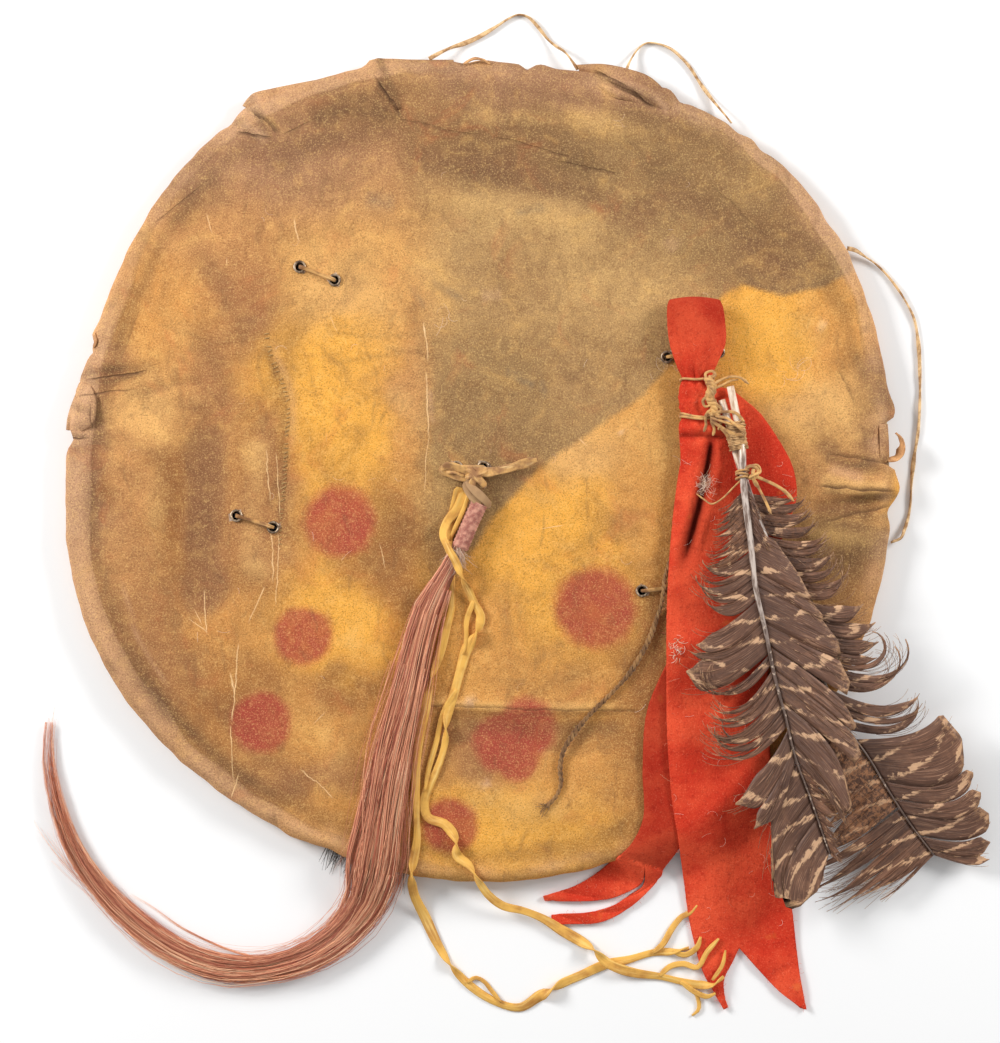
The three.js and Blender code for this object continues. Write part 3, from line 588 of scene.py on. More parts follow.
for name, (leaves, between, returns) in RIM_LOOPS.items():
    line = smooth_path([rim_end(leaves), *between, rim_end(returns)], 1.6)
    run = distance_along(line)
    twist = 0.9 * np.sin(run / 17 + leaves) + 1.5 * np.sin(run / 41)
    widths = RIM_THONG_WIDTH * (1 + 0.2 * np.sin(run / 6 + leaves) + 0.12 * np.sin(run / 2.9))
    section = oval_section(widths, np.full(len(run), RIM_THONG_THICKNESS), 8, 0.8)
    loop = Shape().sweep(line, section, twist, level=True)
    rim_thong = piece_from(loop, name + "_strip", dry_thong, "thong_hide", name)
    free_cord(line)

# ---- Rawhide disc ----
# The stiff disc that the cover is drawn over: thick hide, dried hard. Its pale back shows inside the
# gathered margin, and black hair left on it stands out under the rim at the bottom.
DISC_BACK = 3.2
HOLE_RADIUS = 2.6


def revolved(angles, radii, heights):
    """A closed shell round the disc's axis. Rows of radii and heights lead from one pole to the other."""
    rows, sectors = radii.shape
    rings = np.stack([radii * np.cos(angles), radii * np.sin(angles), heights], -1).reshape(-1, 3)
    points = np.vstack([(0, 0, heights[0].mean()), rings, (0, 0, heights[-1].mean())])
    row, sector = np.meshgrid(np.arange(rows - 1), np.arange(sectors), indexing="ij")
    after = (sector + 1) % sectors
    quads = 1 + np.stack([row * sectors + sector, (row + 1) * sectors + sector,
                          (row + 1) * sectors + after, row * sectors + after], -1).reshape(-1, 4)
    last = len(points) - 1
    wrap = [(k + 1) % sectors for k in range(sectors)]
    faces = quads.tolist() + [[0, 1 + k, 1 + wrap[k]] for k in range(sectors)]
    faces += [[last, last - sectors + wrap[k], last - sectors + k] for k in range(sectors)]
    return Shape().add(points, faces, np.zeros((4 * len(quads) + 6 * sectors, 2))), rings


def rough(x, y, size, seed=0.0):
    """Smooth noise from -1 to 1 whose lumps are about the given size."""
    spots = np.column_stack([np.ravel(x), np.ravel(y)]) / size
    return np.array([noise.noise((u, v, seed)) for u, v in spots.tolist()]).reshape(np.shape(x))


def lace_holes(piece):
    """Cuts the lace holes through a piece."""
    bpy.ops.object.select_all(action="DESELECT")
    pins = []
    for place in [place for pair in STITCHES.values() for place in pair]:
        spot = placed([(*place, 8)])[0]
        bpy.ops.mesh.primitive_cylinder_add(vertices=20, radius=HOLE_RADIUS * MM, depth=0.04, location=spot)
        pins.append(bpy.context.object)
    bpy.ops.object.select_all(action="DESELECT")
    for pin in pins:
        pin.select_set(True)
    bpy.context.view_layer.objects.active = pins[0]
    bpy.ops.object.join()
    drill = bpy.context.object
    bpy.context.view_layer.objects.active = piece
    cut = piece.modifiers.new("lace_holes", "BOOLEAN")
    cut.object = drill
    cut.operation = "DIFFERENCE"
    cut.solver = "MANIFOLD"
    bpy.ops.object.modifier_apply(modifier=cut.name)
    bpy.data.objects.remove(drill)


angles = np.linspace(0, 2 * np.pi, 300, endpoint=False)
rim = rim_radius(angles)
reach = np.array([0.12, 0.25, 0.4, 0.56, 0.72, 0.84, 0.93])[:, None]
# from the middle of the front outwards, round the edge, and back in behind
front_rows = reach * rim
front_heights = RIM_TOP + CROWN * (1 - reach ** 2) - SKIN - 0.3 - 4 * (1 - reach ** 6) + 0 * rim
edge_rows = np.stack([rim - 4.8, rim - 3.1, rim - 2.7, rim - 3.6, rim - 9])
edge_heights = np.array([10, 9, 7.8, 5.2, DISC_BACK])[:, None] + 0 * rim
back_reach = np.linspace(0.94, 0.03, 34)[:, None]
back_rows = back_reach * rim
back_x = back_rows * np.cos(angles)
back_y = back_rows * np.sin(angles)
back_relief = 0.5 + 0.5 * rough(back_x, back_y, 34, 2) + 0.35 * rough(back_x, back_y, 11, 5)
back_heights = DISC_BACK + np.clip(back_relief, 0, 1.3) * smooth((0.94 - back_reach) * 12)
shape, _ = revolved(angles, np.vstack([front_rows, edge_rows, back_rows]),
                    np.vstack([front_heights, edge_heights, back_heights]))

rawhide = Finish("rawhide", Roughness=0.6)
veins = rawhide.grain(rawhide.place(), 34, 5, 0.6, 1.2)
stain = rawhide.grain(rawhide.place(), 11, 3, 0.5)
fine = rawhide.grain(rawhide.place(), 700, 3, 0.6)
hide_colour = rawhide.mix(rawhide.step(stain, 0.35, 0.65), (0.52, 0.37, 0.19), (0.34, 0.2, 0.085))
hide_colour = rawhide.coats(hide_colour, [
    (veins, 0.5, 0.72, 1, (0.62, 0.5, 0.31)),
    (veins, 0.42, 0.3, 1, (0.16, 0.08, 0.035)),
])
rawhide.surface(Base_Color=hide_colour, Normal=rawhide.bump(veins + 0.15 * fine, 0.0012, 0.8))
disc = piece_from(shape, "rawhide_disc", rawhide, "rawhide", "hide_disc")
lace_holes(disc)

BRISTLE_TUFTS = (((-93, -226), (-75, -241), 46), ((-51, -241), (-45, -245), 9), ((-70, -240), (-60, -244), 7))
draw = random.Random(21)
bristles = Shape()
for (from_x, from_y), (to_x, to_y), count in BRISTLE_TUFTS:
    for _ in range(count):
        share = draw.random()
        x = from_x + share * (to_x - from_x)
        y = from_y + share * (to_y - from_y)
        angle = math.atan2(y, x) + draw.uniform(-0.35, 0.25)
        root = float(rim_radius(math.atan2(y, x))) - 10
        length = draw.uniform(15, 24)
        foot = np.array([x, y, 0]) * root / math.hypot(x, y) + (0, 0, draw.uniform(1.4, 3.2))
        tip = foot + length * np.array([math.cos(angle), math.sin(angle), draw.uniform(-0.06, 0.1)])
        tip[2] = max(tip[2], 0.4)
        bow = (foot + tip) / 2 + (draw.uniform(-1, 1), draw.uniform(-1, 1), 0.8)
        line = smooth_path([foot, bow, tip], 3.5)
        fine_hair(bristles, line, 0.7, 0.12, sides=4)
dark_hair = Finish("dark_bristle", Roughness=0.5)
dark_hair.surface(Base_Color=dark_hair.mix(
    dark_hair.grain(dark_hair.place(), 220), (0.012, 0.009, 0.008), (0.07, 0.045, 0.03)))
piece_from(bristles, "hide_bristles", dark_hair, "rawhide")

# ---- Gathering string ----
# One hide string, run through the margin's edge behind the disc and drawn tight to gather it.
MARGIN_WIDTH = 42
turns = np.linspace(0.004, 2 * np.pi - 0.004, 420)
string_radius = rim_radius(turns) - MARGIN_WIDTH - 4.06
string_line = np.column_stack([string_radius * np.cos(turns), string_radius * np.sin(turns),
                               1.6 + 0.25 * np.sin(turns * 75)])
string, _ = laid_up(string_line, 2.1, 9, sides=6)
piece_from(string, "margin_string", yellow_thong, "thong_hide", "gathering_string")

# ---- Painted cover ----
# A soft tanned skin drawn over the disc and gathered behind it. Its face was rubbed with yellow, olive
# and red earth paint; it has sagged into troughs and wrinkles, and its worn rim is folded and torn.
SECTORS = 600
FACE_ROWS = 84
PAINTED_ROWS = FACE_ROWS + 12   # the face, and the front of the rounded rim
ROLL = 8                        # how far in from the rim its rounded edge begins

# folds at the rim: place in degrees, width in degrees, reach inwards, height, slant in degrees, side
FOLDS = [
    (124.2, 2.6, 30, 2.0, -2.0, 1), (121.0, 2.4, 36, 2.2, 1.6, 1), (104.0, 2.2, 34, 2.4, -1.6, -1),
    (92.0, 1.6, 9, 1.6, 0, 1), (84.6, 2.0, 12, 1.0, 0, 1), (165.6, 2.4, 42, 1.8, -4.5, 1),
    (160.8, 1.6, 12, 1.4, 1, 1), (171.0, 2.4, 22, 1.6, 1, -1), (176.2, 2.0, 16, 1.3, 0, 1),
    (2.0, 2.0, 44, 3.0, -2.0, 1), (-2.6, 2.2, 52, 3.4, -2.2, -1), (-6.5, 1.8, 40, 2.6, -1, 1),
    (9.5, 2.0, 20, 1.2, 1, 1), (47, 1.5, 14, 1.0, 1, 1), (-108, 4, 14, 0.9, 2, 1), (-128, 3, 18, 0.8, 2, -1),
    (-152, 3, 16, 0.7, -2, 1), (144, 3, 20, 0.9, 2, 1), (24, 2.6, 16, 0.8, 1, -1),
]
# where the rim's outline stands out or is torn back: place and width in degrees, outward distance
OUTLINE = [
    (122.6, 2.4, 2.6), (125.6, 1.0, -1.2), (104.6, 0.9, 4.4), (102.4, 1.6, 1.0), (99, 1.8, -1.0),
    (92.2, 1.2, -1.8), (89.5, 1.6, 1.4), (83.4, 0.7, -3.4), (81.4, 1.0, 1.2), (70, 6.0, 1.6),
    (64.2, 1.6, 3.0), (61.6, 1.0, -2.0), (53, 1.4, -1.4), (49, 1.2, -1.8), (161.3, 0.5, -2.2),
    (162.6, 0.6, -2.0), (160.2, 1.0, 1.2), (166.5, 1.4, 1.2), (168.6, 0.9, -2.4), (172.6, 2.2, 1.6),
    (175.2, 0.8, -2.2), (178, 1.6, 1.0), (9.0, 1.6, 2.8), (-1.8, 1.9, 3.6), (-5.4, 1.2, -2.6),
    (-9.5, 2.0, -0.8), (31, 1.4, 1.0), (36, 2.2, -0.8), (-112, 1.4, -1.2), (-104, 3, 0.8),
    (-118, 2, 0.9),
]


def apart(angle, degrees):
    """How many degrees an angle in radians is past a direction in degrees."""
    return (np.degrees(angle) - degrees + 180) % 360 - 180


def along_line(x, y, points):
    """Distance to a line through the points, and how far along it the nearest place is, from 0 to 1."""
    points = np.asarray(points, float)
    lengths = np.linalg.norm(np.diff(points, axis=0), axis=1)
    before = np.concatenate([[0], np.cumsum(lengths)])
    nearest = np.full(np.shape(x), 1e9)
    place = np.zeros(np.shape(x))
    for (start_x, start_y), (end_x, end_y), length, run in zip(points, points[1:], lengths, before):
        ux = (end_x - start_x) / length
        uy = (end_y - start_y) / length
        reach = np.clip((x - start_x) * ux + (y - start_y) * uy, 0, length)
        away = np.hypot(x - start_x - reach * ux, y - start_y - reach * uy)
        place = np.where(away < nearest, (run + reach) / before[-1], place)
        nearest = np.minimum(nearest, away)
    return nearest, place


def crease(x, y, points, width):
    """A soft-ended ridge along a line: 1 on it, falling to 0 within its width."""
    away, place = along_line(x, y, points)
    return bell(away / width) * smooth(place * 6) * smooth((1 - place) * 6)


SAGS = [                        # broad troughs and swells: the line they follow, width, height
    ([(-166, 40), (-163, 0), (-168, -40), (-160, -90)], 17, -2.0),
    ([(-140, 30), (-137, -20), (-142, -70)], 15, 1.2), ([(-190, 40), (-192, -10), (-187, -70)], 13, 0.9),
    ([(-110, 98), (-122, 60), (-117, 10), (-120, -60)], 8, -0.9),
    ([(-180, 150), (-150, 110), (-128, 80)], 14, -1.0), ([(-200, 110), (-170, 80), (-165, 30)], 12, 0.7),
    ([(-60, 193), (0, 181), (60, 170), (120, 142)], 13, -1.5), ([(-40, 172), (20, 160), (70, 150)], 11, 1.1),
    ([(-150, 186), (-100, 196), (-40, 210)], 10, -1.2), ([(-20, 214), (60, 214), (120, 196)], 9, 0.9),
    ([(95, 176), (150, 150), (190, 110)], 13, -1.1), ([(190, 160), (215, 110)], 9, 0.8),
    ([(-40, -136), (20, -142), (98, -140)], 5.5, 1.7), ([(-40, -150), (30, -157), (100, -152)], 12, -1.2),
    ([(96, -142), (120, -155), (130, -180)], 9, 0.9), ([(-20, -180), (20, -200), (80, -196)], 14, 0.8),
    ([(198, 20), (222, 8), (246, 2)], 7, -1.3), ([(200, -4), (224, -8), (250, -9)], 5.5, 2.2),
    ([(196, -20), (226, -22), (248, -20)], 5, -1.5), ([(190, -34), (220, -38), (244, -38)], 7, 1.0),
    ([(186, 60), (214, 40), (230, 14)], 8, 0.9), ([(-190, -80), (-168, -128), (-130, -168)], 12, -0.9),
    ([(-100, -120), (-90, -170), (-94, -205)], 10, 0.7), ([(-60, 60), (-30, 20), (-26, -40)], 16, 0.8),
    ([(30, 90), (60, 60), (100, 40)], 18, -0.7), ([(-150, -150), (-110, -190), (-60, -215)], 8, -0.8),
]
FINE_CREASES = [                # narrow creases: the line they follow, and height
    ([(-170, 66), (-138, 74), (-110, 70)], 0.35), ([(-64, 76), (-20, 82), (20, 84)], -0.4),
    ([(-90, 30), (-56, 58), (-30, 66)], -0.35), ([(-204, 47), (-180, 54), (-165, 53)], -0.9),
    ([(210, 84), (196, 100), (190, 112)], 0.3), ([(196, 70), (212, 82)], -0.45),
    ([(150, 56), (166, 40)], 0.3), ([(-34, 92), (-30, 40), (-31, 10)], -0.35),
    ([(44, 178), (60, 184), (92, 178)], -0.5), ([(-214, 20), (-206, -30), (-196, -74)], -0.4),
    ([(-40, -140), (0, -144), (60, -144), (98, -142)], -0.7), ([(204, 10), (224, 2), (246, -2)], -0.8),
    ([(206, -14), (230, -16), (248, -15)], -0.8), ([(214, -30), (234, -32)], -0.6),
    ([(-186, -60), (-172, -104)], 0.4), ([(20, -160), (60, -168), (96, -160)], -0.4),
]
BUMPS = [(205, 89, 3.4, 1.7), (85, 25, 2.6, 1.4), (203, 86, 2, 0.9), (84, 22, 1.6, 0.7), (-6, -136, 3.5, 1.1)]


def face_relief(x, y, angle, inward):
    """How the slack, worn face rises and sinks about its smooth form."""
    relief = sum(height * crease(x, y, line, width) for line, width, height in SAGS)
    relief = relief + sum(height * crease(x, y, line, 2.6) for line, height in FINE_CREASES)
    relief = relief + sum(height * bell(np.hypot(x - bx, y - by) / width) for bx, by, width, height in BUMPS)
    relief = relief + 0.55 * rough(x, y, 46, 1) + 0.3 * rough(x, y, 17, 4) + 0.16 * rough(x, y, 6.5, 7)
    gathers = np.sin(angle * 64 + 5 * rough(x, y, 30, 9)) * smooth(1 - inward / 26)
    return relief + 0.4 * gathers * (0.6 + 0.4 * np.sin(angle * 9))


def fold_lift(angle, inward):
    lift = np.zeros(np.shape(angle))
    for centre, width, reach, height, slant, side in FOLDS:
        past = side * apart(angle, centre + slant * inward / reach)
        ramp = np.exp(-np.square(past / width)) * (0.5 - 0.5 * np.tanh(past / 0.32))
        lift = lift + height * ramp * smooth(1.15 - inward / reach)
    return lift


def fold_shade(angle, inward):
    """The dark line under each fold's lip, which dust and shadow fill."""
    shade = np.zeros(np.shape(angle))
    for centre, _, reach, height, slant, side in FOLDS:
        past = side * apart(angle, centre + slant * inward / reach)
        line = bell((past - 0.45) / 0.55) * smooth(1.1 - inward / reach)
        shade = np.maximum(shade, min(1, height / 2) * line)
    return shade


angles = np.linspace(0, 2 * np.pi, SECTORS, endpoint=False)
rim = rim_radius(angles)
outline = sum(out * bell(apart(angles, centre) / width) for centre, width, out in OUTLINE)
torn = 0.5 + 0.5 * np.tanh((3.0 - np.abs(apart(angles, 4.2))) / 0.35)
outline = outline * (1 - torn) - 7.5 * torn
outline = (outline + 0.35 * np.sin(angles * 47) * np.sin(angles * 13)
           + 0.5 * rough(250 * angles, 0 * angles, 9, 3))
roll_start = (rim - ROLL) / rim
share = np.linspace(0, 1, FACE_ROWS + 1)[1:, None] ** 0.9
face_ratio = share * roll_start
face_rows = face_ratio * rim
turned = np.broadcast_to(angles, face_rows.shape)
x = face_rows * np.cos(turned)
y = face_rows * np.sin(turned)
inward = rim - face_rows
plain_heights = face_height(x, y)
tame = smooth(inward / 6 - 0.6)
near_stitch = np.ones(x.shape)
for pair in STITCHES.values():
    near_stitch = near_stitch * (1 - 0.85 * bell(along_line(x, y, pair)[0] / 11))
relief = face_relief(x, y, turned, inward)
relief = np.maximum(relief * 1.15, -1.9) * tame * near_stitch
face_heights = plain_heights + relief + fold_lift(turned, inward) * smooth(inward / 9)
stretch = np.clip(1 - inward / 26, 0, 1) ** 2
face_out = face_rows + outline * stretch

# the rounded rim, and the margin behind it with its gathers
turn = np.linspace(90, -90, 18)[1:, None]
sine = np.sin(np.radians(turn))
roll_height = face_height(*((rim - ROLL) * np.array([np.cos(angles), np.sin(angles)])))
roll_fold = fold_lift(angles, 6 + 0 * angles)
roll_rows = (rim - ROLL + outline * (0.35 + 0.65 * np.cos(np.radians(turn)))
             + ROLL * np.cos(np.radians(turn)) ** 0.8)
roll_heights = roll_height * (0.5 + 0.5 * np.sign(sine) * np.abs(sine) ** 0.85)
roll_heights = roll_heights + roll_fold * np.clip(sine, 0, 1)
roll_heights = roll_heights * (1 + 0.05 * np.sin(angles * 31) * np.cos(np.radians(turn)))
margin_share = np.linspace(0, 1, 12)[1:, None]
margin_edge = rim - MARGIN_WIDTH + 2 * np.cos(15 * angles)
margin_rows = (rim - ROLL) * (1 - margin_share) + margin_edge * margin_share
pleats = 0.5 + 0.5 * np.sin(angles * 88 + 4 * np.sin(angles * 5) + 1.5 * np.sin(angles * 23))
margin_heights = 1.25 * pleats * smooth(margin_share * 1.3) * (0.6 + 0.4 * np.sin(angles * 7)) ** 2
margin_inner = np.minimum(margin_heights + SKIN, 2.9)

# the skin's inner side, from the margin back over the rim and in across the face
inner_roll = rim - ROLL + (ROLL - 1.4 + 0.5 * outline) * np.cos(np.radians(turn[::-1])) ** 0.8
inner_roll_heights = (2.9 + (roll_height - 1.5 - 2.9)
                      * (0.5 + 0.5 * np.sign(sine[::-1]) * np.abs(sine[::-1]) ** 0.85))
inner_share = np.linspace(1, 0, 16)[1:-1, None]
inner_rows = inner_share * roll_start * rim
inner_x = inner_rows * np.cos(angles)
inner_y = inner_rows * np.sin(angles)
inner_ratio = inner_rows / rim
inner_heights = face_height(inner_x, inner_y) - 1.5 - 1.8 * (1 - inner_ratio ** 6)

rows = np.vstack([face_out, roll_rows, margin_rows, margin_rows[::-1], inner_roll, inner_rows])
heights = np.vstack([face_heights, roll_heights, margin_heights, margin_inner[::-1], inner_roll_heights,
                     inner_heights])
shape, _ = revolved(angles, rows, heights)

# the paints, and the broad soft areas that each lies in: middle, reach across and up
PAINTS = {
    "gold": (246, 176, 72), "pale_gold": (230, 174, 106), "ochre": (216, 151, 80),
    "clay": (202, 143, 88), "brown": (170, 116, 74), "umber": (160, 104, 58), "rim_tan": (168, 122, 90),
    "smoke": (134, 99, 67), "khaki": (196, 155, 101), "dull_khaki": (174, 135, 89),
    "drab": (152, 118, 78), "pale_hide": (214, 172, 134),
}
YELLOW_FIELD = [
    (-150, 186, 60, 22, "rim_tan"), (-172, 140, 34, 24, "clay"), (-192, 104, 24, 26, "ochre"),
    (-140, 104, 20, 34, "brown"), (-84, 108, 30, 22, "pale_gold"), (-96, 66, 34, 34, "gold"),
    (-158, 52, 15, 40, "brown"), (-200, 34, 20, 18, "pale_gold"), (-238, 10, 15, 80, "rim_tan"),
    (-82, 24, 32, 26, "gold"), (-125, 5, 13, 34, "brown"), (-38, 50, 16, 44, "clay"),
    (-166, -32, 12, 50, "brown"), (-184, -14, 16, 34, "umber"), (-206, 0, 12, 24, "clay"),
    (-133, -40, 14, 30, "brown"), (-84, -128, 20, 12, "umber"), (-48, -56, 16, 50, "umber"),
    (-150, -92, 26, 18, "ochre"), (-80, -92, 36, 22, "gold"), (-196, -110, 22, 40, "brown"),
    (-226, -60, 12, 24, "clay"), (-228, -12, 8, 14, "umber"), (-224, 60, 12, 22, "brown"),
    (-142, -136, 30, 18, "umber"), (-84, -150, 36, 24, "ochre"), (-104, -182, 44, 15, "brown"),
    (-90, -208, 44, 12, "ochre"), (0, -208, 54, 18, "gold"), (8, -96, 16, 30, "ochre"),
    (2, -168, 26, 16, "brown"), (48, -44, 46, 46, "gold"), (62, 12, 34, 14, "pale_gold"),
    # the umber band at (104, -120) along the red cloth's left edge is a painted shadow of the cloth
    (50, -128, 34, 14, "ochre"), (52, -178, 34, 18, "ochre"), (104, -120, 20, 80, "umber"),
    (92, -20, 16, 30, "ochre"), (172, 80, 26, 22, "gold"), (212, 78, 16, 22, "ochre"),
    (206, 38, 26, 14, "pale_gold"), (244, 40, 11, 40, "rim_tan"), (206, -4, 26, 10, "clay"),
    (222, -44, 30, 22, "smoke"), (240, -76, 20, 22, "clay"), (250, -20, 10, 10, "gold"),
]
OLIVE_FIELD = [
    (-60, 222, 60, 16, "smoke"), (10, 236, 60, 12, "rim_tan"), (0, 200, 90, 15, "smoke"),
    (96, 226, 46, 14, "rim_tan"), (92, 188, 50, 14, "drab"), (-50, 152, 40, 20, "dull_khaki"),
    (26, 152, 50, 20, "khaki"), (128, 152, 44, 18, "drab"), (184, 130, 34, 22, "smoke"),
    (214, 120, 16, 30, "drab"), (-40, 106, 24, 24, "khaki"), (14, 110, 34, 18, "dull_khaki"),
    (88, 108, 36, 22, "khaki"), (10, 56, 36, 26, "drab"), (60, 60, 26, 22, "dull_khaki"),
    (0, 4, 32, 26, "drab"), (-18, -56, 16, 30, "drab"), (208, 158, 20, 26, "rim_tan"),
]
OLIVE_OUTLINE = [
    (-64, 300), (-52, 200), (-40, 150), (-35, 104), (-33, 40), (-35, -40), (-26, -84), (-14, -60),
    (10, -24), (36, 4), (66, 25), (98, 47), (124, 78), (146, 108), (158, 113), (182, 107), (206, 112),
    (236, 128), (300, 200),
]
RED_DISCS = [                   # middle, radius
    (-84, -28, 20), (-106, -97, 16.5), (-131, -149, 17), (69, -80, 23), (-18, -211, 16),
    (14, -161, 17), (28, -152, 17), (22, -172, 12),
]
GRIME_AND_SHADE = [                       # smudges, and soiled creases with painted shade in them: the line they follow, width, strength
    ([(-130, 175), (-95, 202), (-50, 214), (-20, 205)], 9, 0.55),
    ([(-190, 150), (-150, 175)], 10, 0.45), ([(-40, 186), (10, 178), (60, 168), (96, 156)], 7, 0.6),
    ([(90, 190), (130, 168), (180, 130)], 10, 0.4),
    ([(-238, 55), (-225, 55.6), (-213, 57.6), (-198, 62)], 1.5, 1.1),
    ([(-236, 56), (-214, 60), (-190, 66)], 6, 0.4), ([(-247, 22.5), (-235, 22.5)], 1.6, 1.1),
    ([(-144, 222), (-134, 217), (-125, 211), (-121, 202)], 1.5, 0.9),
    ([(-62, 239), (-56, 229), (-48, 219)], 3, 1.0),
    ([(-130, 86), (-126, 70), (-120, 56), (-116.6, 42), (-117.6, 10), (-121, -40)], 2.2, 0.7),
    ([(-92, 66), (-50, 72), (-18, 82)], 1.3, 0.5), ([(-94, 85), (-60, 82), (-34, 84)], 1.2, 0.4),
    ([(-60, 76), (-22, 70)], 1.3, 0.6), ([(-92, 28), (-62, 50), (-44, 64)], 0.9, 0.4),
    ([(-196, 92), (-160, 78), (-140, 80)], 1.1, 0.35), ([(-176, 62), (-152, 40)], 1.0, 0.3),
    ([(-176, 10), (-172, -30)], 1.4, 0.3), ([(30, 186), (58, 188), (84, 180)], 3, 0.6),
    ([(204, 12), (226, 4), (247, 4)], 1.6, 0.7), ([(200, -9), (226, -14), (248, -13)], 1.5, 0.8),
    ([(206, -22), (236, -25)], 1.4, 0.6), ([(66, 243), (80, 235), (96, 228), (108, 221)], 2.4, 0.9),
    ([(196, 100), (188, 84), (192, 60)], 7, 0.3), ([(222, 80), (236, 50), (240, 34)], 4, 0.5),
    ([(-40, -141), (20, -144), (96, -143)], 1.4, 0.6),
    ([(-108, 214), (-80, 219), (-40, 216)], 12, 1.15), ([(44, 190), (70, 184)], 10, 0.8),
    ([(-96, 150), (-74, 142)], 9, 0.35), ([(-190, 20), (-182, -30)], 11, 0.3),
    ([(48, -124), (70, -132)], 10, 0.3), ([(-98, -122), (-70, -132)], 9, 0.35),
    ([(-70, 6), (-50, -20), (-44, -60)], 9, 0.35), ([(-206, -120), (-180, -150)], 9, 0.35),
    ([(200, 120), (226, 90)], 7, 0.35), ([(-206, 116), (-224, 70)], 8, 0.45),
    ([(-226, -40), (-214, -90), (-186, -140), (-150, -180), (-110, -205)], 6, 0.4),
    ([(-168, 30), (-165, -10), (-168, -60)], 8, 0.3), ([(-92, 112), (-112, 80), (-118, 40)], 5, 0.35),
    ([(198, 40), (206, 0), (226, -30)], 8, 0.45), ([(210, -50), (236, -58)], 9, 0.5),
    ([(-38, -146), (20, -151), (96, -152)], 6, 0.4), ([(-34, 20), (-30, -40), (-28, -80)], 8, 0.35),
    ([(-90, 120), (-60, 138)], 7, 0.25), ([(60, -90), (56, -70)], 3, 0.3),
    ([(-20, -190), (60, -215)], 9, 0.25), ([(120, 60), (112, 20), (108, -20)], 7, 0.35),
    ([(-214, 48), (-196, 50)], 5, 0.5), ([(236, 20), (244, 34)], 5, 0.4),
]
SLATE = [([(-42, 112), (-33, 100)], 2.4), ([(-30, 116), (-10, 104)], 2), ([(14, 62), (34, 52)], 2.2),
         ([(36, 56), (40, 44)], 2),
         ([(-70, 166), (-50, 160)], 5), ([(20, 156), (40, 160)], 2.2)]
BARE = [                        # where the paint has worn off the pale skin
    ([(202, 164), (222, 138), (232, 118)], 7, 0.8), ([(-236, 110), (-222, 138), (-186, 182)], 5, 0.5),
    ([(-150, 212), (-130, 222)], 7, 0.55), ([(-145, 212), (-126, 200)], 3, 0.8),
    ([(70, 244), (112, 220)], 5, 0.5), ([(104, 226), (114, 217)], 2.6, 0.9),
    ([(246, -30), (240, -70)], 8, 0.6), ([(236, 24), (240, 6)], 4, 0.5),
    ([(-100, -213), (-50, -240)], 6, 0.5), ([(-170, -180), (-120, -215)], 5, 0.35),
    ([(112, 142), (118, 134)], 4, 0.5), ([(-8, -134), (-4, -139)], 3.6, 1.0),
    ([(1, -184), (5, -188)], 3.2, 0.9), ([(203, 90), (207, 88)], 2.6, 1.0),
    ([(84, 26), (86, 24)], 1.8, 0.9), ([(-30, 52), (-29, 30)], 1.4, 0.6),
    ([(0, 106), (14, 108)], 3, 0.5), ([(-125, 84), (-122, 70), (-115, 56), (-112, 42), (-113, 10)], 2.4,
                                      0.35), ([(-219, 150), (-190, 186)], 2, 0.5),
    ([(-142, 228), (-132, 222)], 5, 0.8), ([(-246, 46), (-244, 28)], 4, 0.6),
    ([(-217, -60), (-206, -96), (-186, -130)], 1.3, 0.45), ([(208, 4), (232, -4)], 3, 0.6),
]


def paint(piece, name, values):
    """Gives each point of a piece a number, or a colour, for its material to read."""
    colour = np.ndim(values) == 2
    layer = piece.data.attributes.new(name, "FLOAT_COLOR" if colour else "FLOAT", "POINT")
    if colour:
        values = np.column_stack([values, np.ones(len(values))])
    layer.data.foreach_set("color" if colour else "value", np.ravel(values))


def blended(x, y, field):
    """The paints of a field's areas, run softly into one another."""
    total = np.zeros((len(x), 3))
    weight = np.zeros(len(x))
    wander_x = x + 14 * rough(x, y, 38, 11) + 5 * rough(x, y, 12, 12)
    wander_y = y + 14 * rough(x, y, 38, 15) + 5 * rough(x, y, 12, 16)
    for middle_x, middle_y, reach_x, reach_y, name in field:
        away = np.hypot((wander_x - middle_x) / reach_x, (wander_y - middle_y) / reach_y)
        share = 1 / (0.14 + away ** 3.3)
        total += share[:, None] * pigment(*PAINTS[name])
        weight += share
    return total / weight[:, None]


def within(x, y, outline):
    """Distance inside an outline, negative outside it."""
    corners = np.array([*outline, outline[0]], float)
    away, _ = along_line(x, y, corners)
    crossings = np.zeros(len(x), int)
    for (from_x, from_y), (to_x, to_y) in zip(corners, corners[1:]):
        spans = (from_y > y) != (to_y > y)
        crossings += spans & (x < from_x + (to_x - from_x) * (y - from_y) / (to_y - from_y + 1e-9))
    return np.where(crossings % 2 == 1, away, -away)


def strongest(x, y, marks):
    return np.max([strength * crease(x, y, line, width) for line, width, strength in marks], axis=0)


